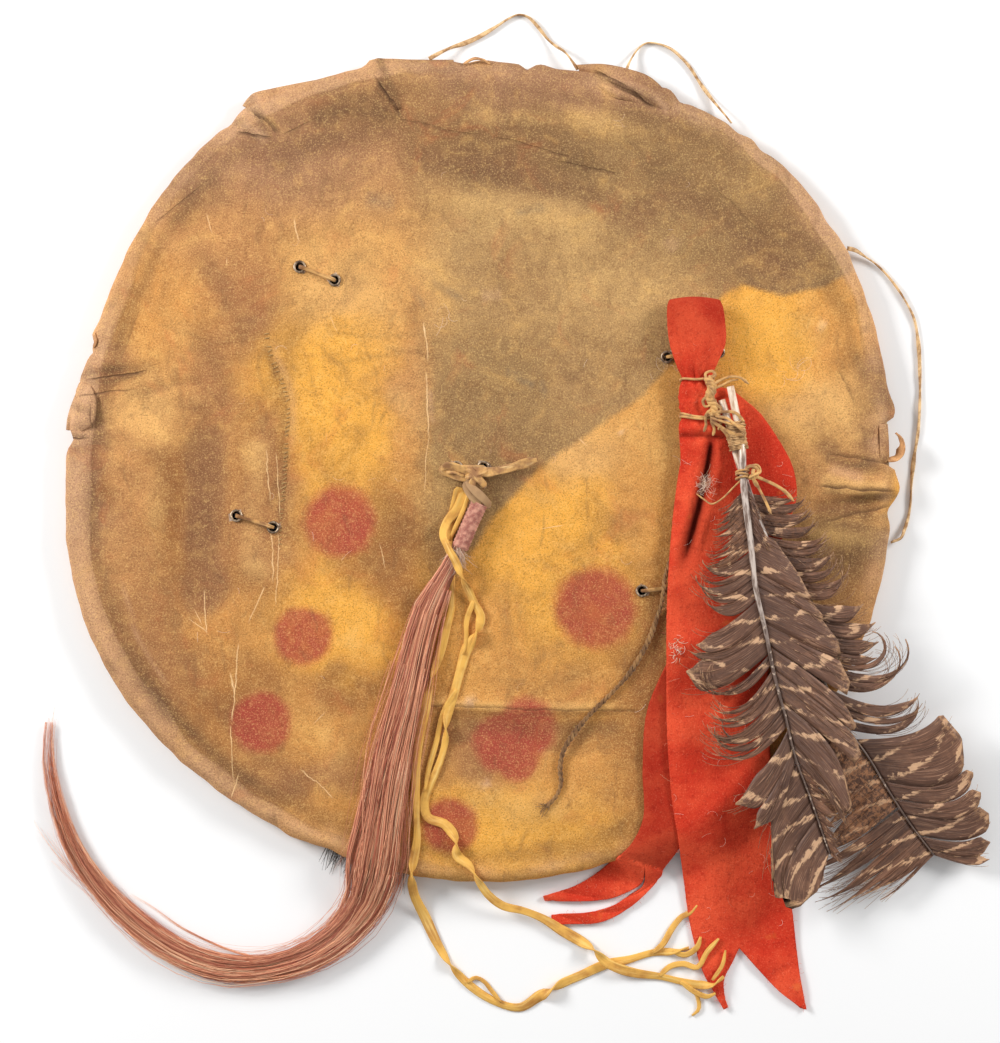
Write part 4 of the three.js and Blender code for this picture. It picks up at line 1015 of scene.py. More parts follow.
def paint_face(piece, x, y, on_face):
    """Gives each point of a piece of the painted skin its paints, its soiling and wear, and painted light and
    shade for its place.
    """
    spot_angle = np.arctan2(y, x)
    spot_inward = rim_radius(spot_angle) - np.hypot(x, y)
    olive = np.clip(within(x, y, OLIVE_OUTLINE), -15, 15) / 30
    red = [1.3 * (1 - np.hypot(x - middle_x, y - middle_y) / (1.22 * radius))
           for middle_x, middle_y, radius in RED_DISCS]
    # painted shade: a dark ring inside the rim, stronger towards the lower left, and a dark line close to the
    # rolled edge, joined to the smudges and the shade under the folds' lips
    rim_crease_shade = bell((spot_inward - 17) / 5) * (0.35 + 0.4 * np.clip(-np.cos(spot_angle - 0.5), 0, 1))
    grime = strongest(x, y, GRIME_AND_SHADE) + fold_shade(spot_angle, np.maximum(spot_inward, 0)) + rim_crease_shade
    grime = grime + 0.25 * bell((spot_inward - 3) / 2.5)
    worn = np.maximum(strongest(x, y, BARE), 0.55 * bell((spot_inward - 6) / 5) * (0.5 + rough(x, y, 22, 31)))
    hem_turns = (bell(apart(spot_angle, 200) / 62) + bell(apart(spot_angle, 38) / 24)
                 + bell(apart(spot_angle, 112) / 14))
    hem_turns = np.clip(hem_turns, 0, 1)
    hem_edge = 11 + 7 * bell(apart(spot_angle, 200) / 50) + 4 * rough(x, y, 30, 71)
    inside_colour = np.broadcast_to(pigment(196, 158, 118), (len(x), 3))
    paint(piece, "yellow_field", np.where(on_face[:, None], blended(x, y, YELLOW_FIELD), inside_colour))
    paint(piece, "olive_field", np.where(on_face[:, None], blended(x, y, OLIVE_FIELD), inside_colour))
    paint(piece, "olive", 0.5 + olive * (0.22 + 0.78 * smooth((x + 34) / 40)))
    paint(piece, "olive_strength", smooth((x + 78 + 20 * rough(x, y, 40, 41)) / 70))
    paint(piece, "red", np.where(on_face, np.max(red, axis=0), -1))
    paint(piece, "grime", np.where(on_face, np.clip(grime, 0, 1.2), 0.15))
    paint(piece, "slate", on_face * np.max([crease(x, y, line, width) for line, width in SLATE], axis=0))
    paint(piece, "worn", np.where(on_face, np.clip(worn, 0, 1), 0.2))
    # the pale worn band round the rim, whose inner edge also gets a painted shadow line
    paint(piece, "hem", np.where(on_face, hem_turns * smooth((hem_edge - spot_inward) / 5), 0.6))
    # painted light and shade on the face's relief: its height about the smooth form, which the material uses
    # to darken the sags and lighten the swells
    hollow = face_relief(x, y, spot_angle, np.maximum(spot_inward, 0)) * smooth(spot_inward / 12)
    paint(piece, "hollow", np.where(on_face, hollow, 0))


painted = Finish("painted_skin", Roughness=0.86, Specular_IOR_Level=0.2)
here = painted.place()
grit = painted.grain(here, 2300, 2, 0.6)
pebble = painted.grain(here, 1150, 3, 0.6)
blotch = painted.grain(here, 70, 3, 0.5, 0.6)
cloud = painted.grain(here, 30, 4, 0.6, 0.8)
rubbed = painted.grain(painted.stretched(here, (0.35, 1.6, 1)), 150, 4, 0.65, 0.3)
drift = painted.grain(here, 60, 5, 0.7)
olive_edge = painted.step(painted.spot("olive") + 0.16 * (drift - 0.5) + 0.1 * (pebble - 0.5), 0.42, 0.58)
olive_edge = olive_edge * painted.clamped(painted.spot("olive_strength") + 0.5 * (drift - 0.5))
skin = painted.mix(olive_edge, painted.tint("yellow_field"), painted.tint("olive_field"))
skin = painted.coats(skin, [
    (cloud, 0.42, 0.72, 0.34, pigment(120, 84, 56)),
    (cloud, 0.44, 0.24, 0.3, pigment(250, 196, 112)),
])
hem = painted.clamped(painted.spot("hem") * (0.7 + 0.9 * (drift - 0.4)))
skin = painted.mix(painted.step(hem, 0.2, 0.55) * 0.5, skin, pigment(216, 168, 128))
# painted shadow: a dark line just inside the pale edge band, where the rolled rim would shade the face
skin = painted.mix(painted.step(hem, 0.12, 0.24) * painted.step(hem, 0.44, 0.28) * 0.24, skin,
                   pigment(104, 74, 54))
# painted shade in the sags and painted light on the swells of the relief
relief_light_and_shade = painted.spot("hollow") + 0.5 * (drift - 0.5)
skin = painted.coats(skin, [
    (relief_light_and_shade, -0.25, -1.5, 0.5, pigment(122, 82, 62)),
    (relief_light_and_shade, 0.3, 1.5, 0.42, pigment(252, 200, 124)),
    (blotch, 0.54, 0.76, 0.2, pigment(140, 92, 60)),
    (blotch, 0.44, 0.26, 0.2, pigment(246, 190, 110)),
    (rubbed, 0.56, 0.78, 0.18, pigment(250, 200, 120)),
])
red_here = painted.spot("red") + 0.42 * (drift - 0.5) + 0.2 * (blotch - 0.5) + 0.12 * (pebble - 0.5)
red_share = painted.step(red_here, -0.06, 0.42) * (0.76 + 0.16 * painted.step(blotch, 0.7, 0.35))
skin = painted.mix(red_share, skin, pigment(176, 68, 58))
# smudges together with painted shade in creases, under fold lips and round the rim
dirt_and_shade = painted.spot("grime") * (0.55 + 0.9 * (drift - 0.3))
skin = painted.mix(painted.clamped(dirt_and_shade) * 0.8, skin, pigment(92, 66, 48))
skin = painted.mix(painted.clamped(painted.spot("slate") * (1.6 * drift - 0.3)) * 0.6, skin,
                   pigment(96, 98, 92))
bare = painted.clamped(painted.spot("worn") * (0.6 + 1.3 * (blotch - 0.35)))
skin = painted.mix(bare * 0.75, skin, pigment(222, 176, 138))
skin = painted.coats(skin, [
    (pebble, 0.5, 0.72, 0.55, pigment(112, 72, 40)),
    (pebble, 0.5, 0.3, 0.34, pigment(255, 214, 138)),
])
mottle = painted.grain(here, 170, 3, 0.55, 0.5)
skin = painted.coats(skin, [
    (mottle, 0.5, 0.74, 0.14, pigment(128, 82, 46)),
    (mottle, 0.5, 0.28, 0.12, pigment(252, 200, 120)),
])
ruddy = painted.step(painted.grain(here, 26, 4, 0.6, 1.2), 0.56, 0.74)
skin = painted.mix(ruddy * 0.22, skin, pigment(204, 104, 62))
smeared = painted.step(painted.grain(painted.stretched(here, (1.5, 0.7, 1)), 44, 5, 0.62, 1.6), 0.54, 0.72)
skin = painted.mix(smeared * 0.3, skin, pigment(112, 80, 56))
skin = painted.mix(painted.step(grit, 0.56, 0.74) * 0.3, skin, pigment(96, 62, 38))

SCRATCHES = [                   # ends, half width
    (-33, 93, -31, 66, 0.22), (-32, 62, -31, 20, 0.26), (-31, 24, -33, -12, 0.14),
    (-112, 154, -107, 138, 0.26), (-164, 157, -161, 142, 0.2), (-152, 131, -152, 123, 0.2),
    (-165, -68, -164, -98, 0.24), (-144, -100, -149, -150, 0.22), (-150, -150, -148, -186, 0.18),
    (-128, -66, -139, -90, 0.22), (-150, -118, -147, -132, 0.3), (-88, -196, -108, -176, 0.2),
    (-128, 16, -126, -18, 0.2), (-122, 14, -120, -26, 0.16), (-126, -30, -124, -66, 0.2),
    (-121, -34, -122, -80, 0.14), (-176, -86, -162, -96, 0.16), (-172, -80, -166, -92, 0.16),
    (-102, -152, -92, -142, 0.18), (-150, -196, -144, -178, 0.2), (58, 22, 66, 16, 0.18),
    (-60, -40, -56, -58, 0.16), (34, -34, 52, -30, 0.12), (-90, 96, -84, 84, 0.14),
]
wobble = 0.006 * (cloud - 0.5) + 0.0016 * (drift - 0.5)
across_here = (painted.axis(here, 0) - CENTRE_X) + wobble
up_here = (painted.axis(here, 1) - CENTRE_Y) + wobble


def beside_line(from_x, from_y, to_x, to_y):
    """How far along a line and how far aside of it each place on the skin is, and the line's length."""
    length = math.hypot(to_x - from_x, to_y - from_y)
    unit_x = (to_x - from_x) / length
    unit_y = (to_y - from_y) / length
    right = across_here - from_x * MM
    up = up_here - from_y * MM
    return right * unit_x + up * unit_y, right * unit_y - up * unit_x, length


for *scratch, half_width in SCRATCHES:
    run, aside, length = beside_line(*scratch)
    aside = painted.maths("ABSOLUTE", aside)
    line = painted.step(aside, 2.2 * half_width * MM, 0.6 * half_width * MM)
    ends = painted.step(run, 0, 4 * MM) * painted.step(run, length * MM, (length - 6) * MM)
    skin = painted.mix(line * ends * (1.7 * drift - 0.15), skin, pigment(246, 204, 150))
FOLD_LINES = [                  # where loose skin laps over: ends, how far its shadow falls, depth
    (-61, 238, -46, 214, 5, 0.95), (-62, 232, -56, 222, 2, 0.8), (-148, 206, -122, 201, 4, 0.8),
    (-121, 202, -140, 220, 4, 0.75), (-120, 203, -98, 214, 3, 0.5), (67, 242, 92, 231, 4, 0.95),
    (90, 232, 109, 219, 4, 0.9), (76, 234, 100, 226, 2, 0.4), (-236, 57, -198, 62, 3, 0.9),
    (-243, 47, -206, 51, 2.4, 0.6), (-250, 22, -232, 22, 2, 0.9), (-234, 44, -232, 24, 2, 0.6),
    (248, 5, 206, 12, 4, 0.6), (250, -11, 200, -8, 4, 0.85), (248, -19, 206, -30, 4, 0.7),
    (226, 40, 214, 66, 4, 0.4), (-52, 214, 4, 203, 4, 0.4), (6, 203, 58, 190, 3, 0.45),
    (46, 188, 86, 180, 4, 0.5), (-196, 150, -164, 176, 3, 0.45), (98, -143, -38, -139, 3, 0.5),
    (136, 176, 176, 140, 3, 0.35), (-204, 100, -216, 66, 3, 0.35),
]
folded = 0
for *fold_line, shadow, depth in FOLD_LINES:
    run, aside, length = beside_line(*fold_line)
    line = painted.step(aside, -0.4 * MM, 0.1 * MM) * painted.step(aside, shadow * MM, 0)
    ends = painted.step(run, -1 * MM, 7 * MM) * painted.step(run, (length + 1) * MM, (length - 9) * MM)
    folded = folded + line * ends * line * depth
skin = painted.mix(painted.clamped(folded * (0.5 + drift)) * 0.85, skin, pigment(84, 56, 40))
surface = painted.bump(0.6 * pebble + 0.3 * grit + 0.9 * blotch - 1.2 * folded, 0.0008, 0.9)
painted.surface(Base_Color=skin, Normal=surface)

cover = piece_from(shape, "painted_skin_cover", painted, "painted_buckskin", "painted_cover")
points = np.vstack(shape.points)
paint_face(cover, points[:, 0], points[:, 1], np.arange(len(points)) <= PAINTED_ROWS * SECTORS)
lace_holes(cover)

# ---- Mended tear and torn rim scraps ----
# A tear in the cover was closed with a row of small stitches, and dried scraps of skin curl at the rim.
MENDED_TEAR = [(-128, 84), (-125, 70), (-119, 56), (-115, 42), (-116, 20), (-117, 0), (-119, -22),
               (-120, -42)]
draw = random.Random(5)
seam = smooth_path([(x, y, 0) for x, y in MENDED_TEAR], 2.6)
stitches = Shape()


def skin_height(x, y):
    """The height of the painted face at one place, with its sags."""
    angle = math.atan2(y, x)
    inward = rim_radius(angle) - math.hypot(x, y)
    spot = (np.array([float(x)]), np.array([float(y)]))
    lift = face_relief(*spot, np.array([angle]), np.array([inward]))[0] * float(smooth(inward / 6 - 0.6))
    return float(face_height(x, y)) + lift


for number, (x, y, _) in enumerate(seam):
    if draw.random() < 0.12:
        continue
    lean = draw.uniform(-0.5, 0.5)
    half = draw.uniform(0.9, 1.5)
    top = skin_height(x, y)
    ends = [(x - half, y + lean - 0.5, top - 0.1), (x, y, top + 0.55), (x + half, y - lean + 0.5, top - 0.1)]
    stitches.sweep(smooth_path(ends, 0.5), oval_section(0.5, 0.5, 5))
dull_sinew = Finish("dull_sinew", Roughness=0.7)
dull_sinew.surface(Base_Color=dull_sinew.mix(
    dull_sinew.grain(dull_sinew.place(), 160, 3), pigment(112, 76, 40), pigment(222, 186, 120)))
piece_from(stitches, "tear_stitches", dull_sinew, "painted_buckskin")

SCRAPS = [                      # curled scraps of skin at the rim: line, width, how it is turned
    ([(245, 8, 12), (251, 9.6, 10), (254.4, 15, 10), (253.4, 21.4, 11), (249.8, 24.6, 12)], 7.5, 0.75),
    ([(-10, 246, 13), (-4, 249, 13.8), (2, 248.6, 13.4), (6, 246, 12.5)], 3, 0.7),
    ([(-232, 76, 12), (-230.6, 80, 13), (-232, 85, 12)], 3, 0.5),
]
scraps = Shape()
for line, width, lean in SCRAPS:
    path = smooth_path(line, 0.9)
    share = np.linspace(0, 1, len(path))
    widths = width * np.sin(np.pi * (0.12 + 0.76 * share)) * (1 + 0.15 * np.sin(share * 17))
    section = oval_section(widths, np.full(len(path), 1.2), 12, 0.7)
    section[..., 1] += 0.09 * np.square(section[..., 0])
    scraps.sweep(path, section, lean + 0.8 * share)
scrap_skin = Finish("scrap_skin", Roughness=0.8)
scrap_tone = scrap_skin.grain(scrap_skin.place(), 130, 4, 0.6)
scrap_fine = scrap_skin.grain(scrap_skin.place(), 1150, 3, 0.6)
scrap_colour = scrap_skin.mix(scrap_skin.step(scrap_tone, 0.35, 0.68), pigment(222, 168, 112),
                              pigment(158, 108, 68))
scrap_colour = scrap_skin.mix(scrap_skin.step(scrap_fine, 0.5, 0.72) * 0.4, scrap_colour,
                              pigment(106, 70, 42))
scrap_skin.surface(Base_Color=scrap_colour, Normal=scrap_skin.bump(
    scrap_skin.grain(scrap_skin.place(), 420, 3, 0.6), 0.0006, 0.8))
piece_from(scraps, "curled_skin_scraps", scrap_skin, "painted_buckskin")

FLAPS = [                       # folds of loose skin at the rim: outer x, y, lift, inner x, y, lift; and arch
    ([(-140, 226, 1.4, -143, 221.6, 1.4), (-136, 229.4, 1.6, -134, 216.4, 1.6),
      (-124, 232.4, 0.9, -124, 211, 0.2),
      (-104, 236.4, 0.6, -108, 216, -1.6), (-84, 240, 0.6, -86, 226, -1.6),
      (-66, 243, 0.4, -68, 230, -1.8)], 1.4),
    ([(-66.5, 244, 1.8, -50, 218.6, 0.8), (-63.4, 249.6, 2.2, -46, 219.6, -0.4),
      (-56, 250, 1.6, -41, 224, -1.4),
      (-40, 249.6, 0.6, -30, 234, -1.6), (-16, 249.6, -0.6, -14, 240, -1.8)], 0.7),
    ([(58, 246.6, -0.4, 60, 242, -1), (74, 246.8, 1.6, 75, 236.6, 1.2), (88, 244, 2.6, 87, 231.4, 2),
      (102, 239, 2.8, 97, 226.6, 2), (112, 229.6, 2, 104, 221.8, 1.2), (116, 221, -0.6, 112, 217, -1)], 3.4),
    ([(68, 236, -0.6, 69, 234, -0.8), (80, 232.8, 0.6, 78, 226.6, 0.2), (90, 228.6, 0.6, 89, 223.4, 0),
      (101, 222.6, -0.8, 99, 220, -1)], 1.6),
    ([(-240, 55, 0, -234, 52.4, -0.6), (-243, 48, 0.8, -231, 46.4, 0.9), (-246, 40, 1.2, -230, 39, 1.6),
      (-248, 33, 1, -231.6, 31, 1.6), (-249, 27, -0.6, -240, 25.4, -0.8)], 1.4),
    ([(245, 30, -0.4, 239.6, 30, 0), (245.6, 20, 0, 239.8, 20, 0.7), (246, 7, -0.6, 240.4, 6, 0)], 0.2),
]


def rim_surface(x, y):
    """Height of the cover's face, falling away where it rolls over at the rim."""
    share = np.clip((rim_radius(np.arctan2(y, x)) - np.hypot(x, y)) / ROLL, 0, 1)
    return face_height(x, y) * (0.55 + 0.45 * np.sqrt(1 - (1 - share) ** 2))


def choose(piece):
    bpy.ops.object.select_all(action="DESELECT")
    bpy.context.view_layer.objects.active = piece
    piece.select_set(True)


def thicken(piece, thickness, offset):
    choose(piece)
    thick = piece.modifiers.new("thickness", "SOLIDIFY")
    thick.thickness = thickness * MM
    thick.offset = offset
    bpy.ops.object.modifier_apply(modifier=thick.name)


FLAP_COLUMNS = 12
folded = Shape()
for posts, arch in FLAPS:
    route = smooth_path(posts, 1.1)
    across = np.linspace(0, 1, FLAP_COLUMNS)[None, :]
    along = np.linspace(0, 1, len(route))[:, None]
    x = route[:, 0:1] * (1 - across) + route[:, 3:4] * across
    y = route[:, 1:2] * (1 - across) + route[:, 4:5] * across
    lift = route[:, 2:3] * (1 - across) + route[:, 5:6] * across
    lift = (lift + arch * np.sin(np.pi * across) * np.sin(np.pi * (0.1 + 0.8 * along))
            + 0.35 * rough(x, y, 6, 81))
    patch = np.stack([x, y, rim_surface(x, y) + lift], -1)
    faces = grid_faces(len(route), FLAP_COLUMNS).tolist()
    folded.add(patch.reshape(-1, 3), faces, np.zeros((4 * len(faces), 2)), draw.random())
flaps = piece_from(folded, "folded_rim_skin", painted, "painted_buckskin")
points = np.vstack(folded.points)
paint_face(flaps, points[:, 0], points[:, 1], np.ones(len(points), bool))
thicken(flaps, 1.3, -1)

# ---- Eyelets ----
# Ten small rolled eyelets of brass, dulled, with paler worn patches, line the lace holes.
aged_brass = Finish("aged_brass", Metallic=0.75, Roughness=0.42)
wear = aged_brass.grain(aged_brass.place(), 420, 3, 0.6)
aged_brass.surface(
    Base_Color=aged_brass.mix(aged_brass.step(wear, 0.4, 0.62), (0.5, 0.38, 0.26), (0.14, 0.09, 0.06)),
    Normal=aged_brass.bump(wear, 0.0002, 0.6))
RING_RADIUS = 3.15
for name, pair in STITCHES.items():
    for number, (x, y) in enumerate(pair, 1):
        top = float(face_height(x, y))
        bpy.ops.object.select_all(action="DESELECT")
        bpy.ops.mesh.primitive_torus_add(
            major_segments=28, minor_segments=10, major_radius=RING_RADIUS * MM, minor_radius=0.72 * MM,
            location=placed([(x, y, top + 0.7)])[0], rotation=(0.05 * math.sin(x), 0.05 * math.cos(y), 0))
        eyelet = bpy.context.object
        eyelet.name = f"brass_eyelet_{name}_{number}"
        bpy.ops.object.transform_apply(location=True, rotation=True, scale=True)
        bpy.ops.object.shade_smooth()
        eyelet.data.materials.append(aged_brass.material)
        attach(eyelet, "root")
        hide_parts(f"eyelet_{name}_{number}")

# ---- Lace stitches ----
# Each lace is a narrow thong, in at one eyelet and out at the other, its ends turned in behind the disc.
LACE_BEHIND = 1.6


def stitch_line(pair):
    start, end = np.array(pair, float)
    span = float(np.linalg.norm(end - start))

    def at(run, height):
        x, y = start + (end - start) * run / span
        return (x, y, height)

    def over(run):
        x, y, _ = at(run, 0)
        return float(face_height(x, y))

    lift = 2.6
    inward = [(0.36 * span, LACE_BEHIND), (3, LACE_BEHIND), (0.5, LACE_BEHIND + 2.4), (0.1, 9)]
    outward = [(0.2, over(0) + 0.5 * lift), (1.3, over(1) + lift + 0.1), (4.4, over(4) + lift - 0.2)]
    rise = inward + outward
    line = [at(*spot) for spot in rise] + [at(span / 2, over(span / 2) + 1.4)]
    return line + [at(span - run, height) for run, height in reversed(rise)]


brown_thong = Finish("brown_thong", Roughness=0.7, Sheen_Weight=0.1)
lace_tone = brown_thong.grain(brown_thong.stretched(brown_thong.run(), (8, 0.5, 1)), 1, 4, 0.6)
lace_soil = brown_thong.grain(brown_thong.place(), 130, 4, 0.6)
lace_hide = brown_thong.mix(brown_thong.step(lace_soil, 0.36, 0.62), pigment(196, 146, 82),
                            pigment(128, 84, 42))
lace_hide = brown_thong.mix(brown_thong.step(lace_tone, 0.5, 0.74), lace_hide, pigment(226, 184, 122))
brown_thong.surface(Base_Color=lace_hide, Normal=brown_thong.bump(lace_tone, 0.0004, 0.9))
for number, (name, pair) in enumerate(STITCHES.items()):
    if name == "centre":
        continue
    path = smooth_path(stitch_line(pair), 0.6)
    run = distance_along(path)
    widths = 2.3 * (1 + 0.16 * np.sin(run / 3.1 + number))
    lace = Shape().sweep(path, oval_section(widths, np.full(len(run), 1.3), 10, 0.8), 0.25 * np.sin(run / 5))
    piece_from(lace, f"thong_lace_{name}", brown_thong, "thong_hide", f"lace_{name}")

# ---- Centre tie ----
# One soft thong through the two middle eyelets, knotted on the face over the head of the hair. Its
# right end lies flat and straight, its left end is doubled back in a small loop.
tie = Shape()


def flat_strip(shape, route, width, thickness=1.3, lean=0.0, step=1.0, high=False, wave=0.1, cup=0.03):
    """A flat strip of hide through points given by their height above the face, added to a shape."""
    path = smooth_path(route if high else lying(route), step)
    run = distance_along(path)
    share = run / run[-1]
    ends = 0.45 + 0.55 * smooth(np.minimum(share, 1 - share) * 9)
    widths = width * (1 + wave * np.sin(run / 4.3 + width) + 0.5 * wave * np.sin(run / 1.7)) * ends
    section = oval_section(widths, np.full(len(run), thickness), 12, 0.72)
    section[..., 1] += cup * np.square(section[..., 0])
    return shape.sweep(path, section, lean + 0.25 * np.sin(run / 8 + lean), level=True)


path = smooth_path(stitch_line(STITCHES["centre"]), 0.6)
tie.sweep(path, oval_section(2.6, 1.5, 10, 0.8))
flat_strip(tie, [(-8, 0, 5.4), (-2, 1, 7.2), (6, 1, 6.6), (16, 3, 5.0), (26, 6, 4.2), (34, 8.4, 4.0)], 5.4)
flat_strip(tie, [(-4, 0, 6.4), (-10, 2.6, 6.8), (-17, 4.6, 5.8), (-22.4, 4.4, 5.0)], 5.0, lean=0.3)
flat_strip(tie, [(-22, 4.8, 4.8), (-22.6, 1.6, 3.2), (-18, -0.4, 3.0), (-12, -2.2, 3.8), (-6, -3, 5.0)],
           4.2, lean=-0.5)
flat_strip(tie, [(-20, 1, 4.2), (-15, 1, 4.8), (-9, -1.6, 5.6)], 3.0, lean=0.5)
flat_strip(tie, [(-9, 4, 4.0), (-6, 2.5, 8.2), (-2, -2, 9.4), (2, -6, 7.6), (3, -8, 5.0)], 4.4, lean=0.3)
flat_strip(tie, [(3, 4, 4.0), (1, 1, 7.8), (-3, -3, 9.0), (-5, -7, 8.4), (-6, -10, 7.0)], 4.0, lean=-0.4)
flat_strip(tie, [(-9, -2, 5.0), (-4, -1, 8.6), (1, 1, 8.6), (4, 3, 5.4)], 3.8, lean=0.2)
soft_thong = Finish("soft_thong", Roughness=0.75, Sheen_Weight=0.15)
soft_tone = soft_thong.grain(soft_thong.stretched(soft_thong.run(), (7, 0.6, 1)), 1, 4, 0.6)
soft_soil = soft_thong.grain(soft_thong.place(), 150, 4, 0.6)
soft_hide = soft_thong.mix(soft_thong.step(soft_soil, 0.36, 0.64), pigment(214, 164, 96),
                           pigment(150, 104, 62))
soft_hide = soft_thong.mix(soft_thong.step(soft_tone, 0.5, 0.76), soft_hide, pigment(236, 198, 136))
soft_thong.surface(Base_Color=soft_hide, Normal=soft_thong.bump(soft_tone, 0.0004, 0.9))
piece_from(tie, "knotted_tie", soft_thong, "thong_hide", "centre_tie")
grey_tie = Shape()
flat_strip(grey_tie, [(-7, -3, 6.0), (-5, -8, 9.4), (0, -13, 10.9), (4, -17, 9.4), (5.5, -20, 6)], 5.2,
           lean=0.2)
flat_strip(grey_tie, [(-9, -5, 5), (-8, -10, 8.8), (-4, -15, 10.6), (1, -18.5, 10)], 3.6, lean=-0.2)
grey_thong = Finish("grey_thong", Roughness=0.8, Sheen_Weight=0.15)
grey_tone = grey_thong.grain(grey_thong.place(), 170, 4, 0.6)
grey_thong.surface(Base_Color=grey_thong.mix(grey_tone, pigment(190, 150, 104), pigment(138, 104, 70)),
                   Normal=grey_thong.bump(grey_tone, 0.0005, 0.8))
piece_from(grey_tie, "grey_tie_strip", grey_thong, "thong_hide")

# ---- Horsehair ----
# A lock of long horsehair dyed a dull red, over a thousand hairs in loose clumps. It hangs over the rim
# and sweeps round on the ground to a thin tip, with strays and a side wisp.
HAIR = [                        # x, y, lift of its underside, half width, half height
    (2.5, -10, 4.6, 3, 2.6), (0, -17, 4.2, 3.4, 3), (-5, -28, 4, 3.6, 3), (-11, -42, 4.4, 3.6, 2.8),
    (-15, -50, 4.4, 4, 2.6), (-20, -60, 4, 5, 2.6), (-29, -76, 1.6, 7, 3), (-36, -100, 0.6, 8, 3.4),
    (-44, -135, 0.6, 9, 3.6), (-52, -170, 0.6, 10, 3.8), (-57, -205, 0.6, 10, 4),
    (-61, -232, 0.6, 11.5, 4), (-67, -256, 0.6, 10.5, 4), (-80, -274, 0.5, 9, 4),
    (-102, -290, 0.5, 8, 4), (-130, -298, 0.5, 7, 4), (-155, -298, 0.5, 8, 4), (-180, -290, 0.5, 8, 4),
    (-205, -274, 0.5, 8, 4), (-228, -252, 0.5, 7, 3.6), (-246, -226, 0.5, 6, 3.2),
    (-256, -198, 0.5, 5, 2.8), (-261, -170, 0.5, 4, 2.2), (-260, -144, 0.5, 2, 1.4),
]
HAIR_STEP = 15.0
stations = np.array(HAIR)
hair_heights = drape(stations[:, 0], stations[:, 1]) + stations[:, 2] + stations[:, 4]
hair_line = smooth_path(np.column_stack([stations[:, :2], hair_heights]), HAIR_STEP)
hair_run = distance_along(hair_line)
post_run = [hair_run[np.argmin(np.linalg.norm(hair_line[:, :2] - place, axis=1))]
            for place in stations[:, :2]]
half_width = np.interp(hair_run, post_run, stations[:, 3])
half_height = np.interp(hair_run, post_run, stations[:, 4])
hair_side, hair_up = directions(hair_line, True)
total_run = hair_run[-1]
draw = random.Random(77)
HAIR_THICKNESS = 0.44
HAIR_CLUMPS = 46
CLUMP_HAIRS = 24
LOOSE_HAIRS = 620


def hair_strand(shape, across, above, first, last, sway, bias=0.0, at=0.0, thickness=HAIR_THICKNESS):
    """One hair that keeps its place in the lock, swaying a little, from one share of its run to another."""
    run = np.append(np.arange(first * total_run, last * total_run - 4, HAIR_STEP), last * total_run)
    along, aside, above_line, wide, high = (along_run(run, hair_run, values) for values in (
        hair_line, hair_side, hair_up, half_width[:, None], half_height[:, None]))
    drift = across + sway * np.sin(run / 61 + 7 * across) + 0.06 * np.sin(run / 17 + 30 * above)
    drift = drift + bias * bell((run - at) / 60)
    path = along + drift[:, None] * wide * aside + above * high * above_line
    path[:, 2] = np.maximum(path[:, 2], 0.35)
    taper = thickness * (0.3 + 0.7 * smooth((run[-1] - run) / 120))
    return shape.sweep(path, oval_section(taper, taper, 3), shade=draw.random())


lock = Shape()
for clump in range(HAIR_CLUMPS):
    middle = draw.uniform(-0.8, 0.8)
    level = draw.uniform(-0.75, 0.75) * math.sqrt(1 - middle * middle)
    sway = draw.uniform(0.02, 0.14)
    last = min(0.985, draw.choice((0.47, 0.56, 0.68, 0.78, 0.85, 0.91, 0.97)) + draw.uniform(-0.03, 0.02))
    bias = 0.9 if clump % 7 == 3 else 0.0
    for _ in range(CLUMP_HAIRS):
        across = max(-1, min(1, middle + draw.gauss(0, 0.16)))
        above = max(-0.95, min(0.95, level + draw.gauss(0, 0.2)))
        reach = min(0.995, last + 0.02 - 0.24 * draw.random() ** 1.3)
        hair_strand(lock, across, above, 0.012, reach, sway, bias, 0.4 * total_run)
dyed_hair = Finish("dyed_hair", Roughness=0.38, Sheen_Weight=0.1)
hair_tone = dyed_hair.spot("shade")
hair_soil = dyed_hair.grain(dyed_hair.place(), 16, 3)
hair_colour = dyed_hair.mix(dyed_hair.step(hair_tone, 0.1, 0.8), pigment(184, 98, 74), pigment(250, 182, 140))
hair_colour = dyed_hair.coats(hair_colour, [
    (hair_tone, 0.8, 0.98, 0.8, pigment(252, 218, 178)),
    (hair_soil, 0.5, 0.7, 0.4, pigment(226, 134, 90)),
])
dyed_hair.surface(Base_Color=hair_colour)
piece_from(lock, "horsehair_lock", dyed_hair, "dyed_horsehair", "hair_lock")

loose_hair = Shape()
for _ in range(LOOSE_HAIRS):
    first = draw.choice((0.11, 0.14, 0.2, 0.3, 0.42, 0.5))
    across = draw.choice((-1, 1)) * (0.4 + abs(draw.gauss(0, 0.42 if first < 0.25 else 0.24)))
    last = min(0.99, first + draw.uniform(0.25, 0.6))
    hair_strand(loose_hair, across, draw.uniform(-0.7, 1.15), first, last, draw.uniform(0.05, 0.3),
                draw.gauss(0, 0.4), draw.uniform(0.2, 0.9) * total_run, 0.3)
piece_from(loose_hair, "loose_horsehair", dyed_hair, "dyed_horsehair")

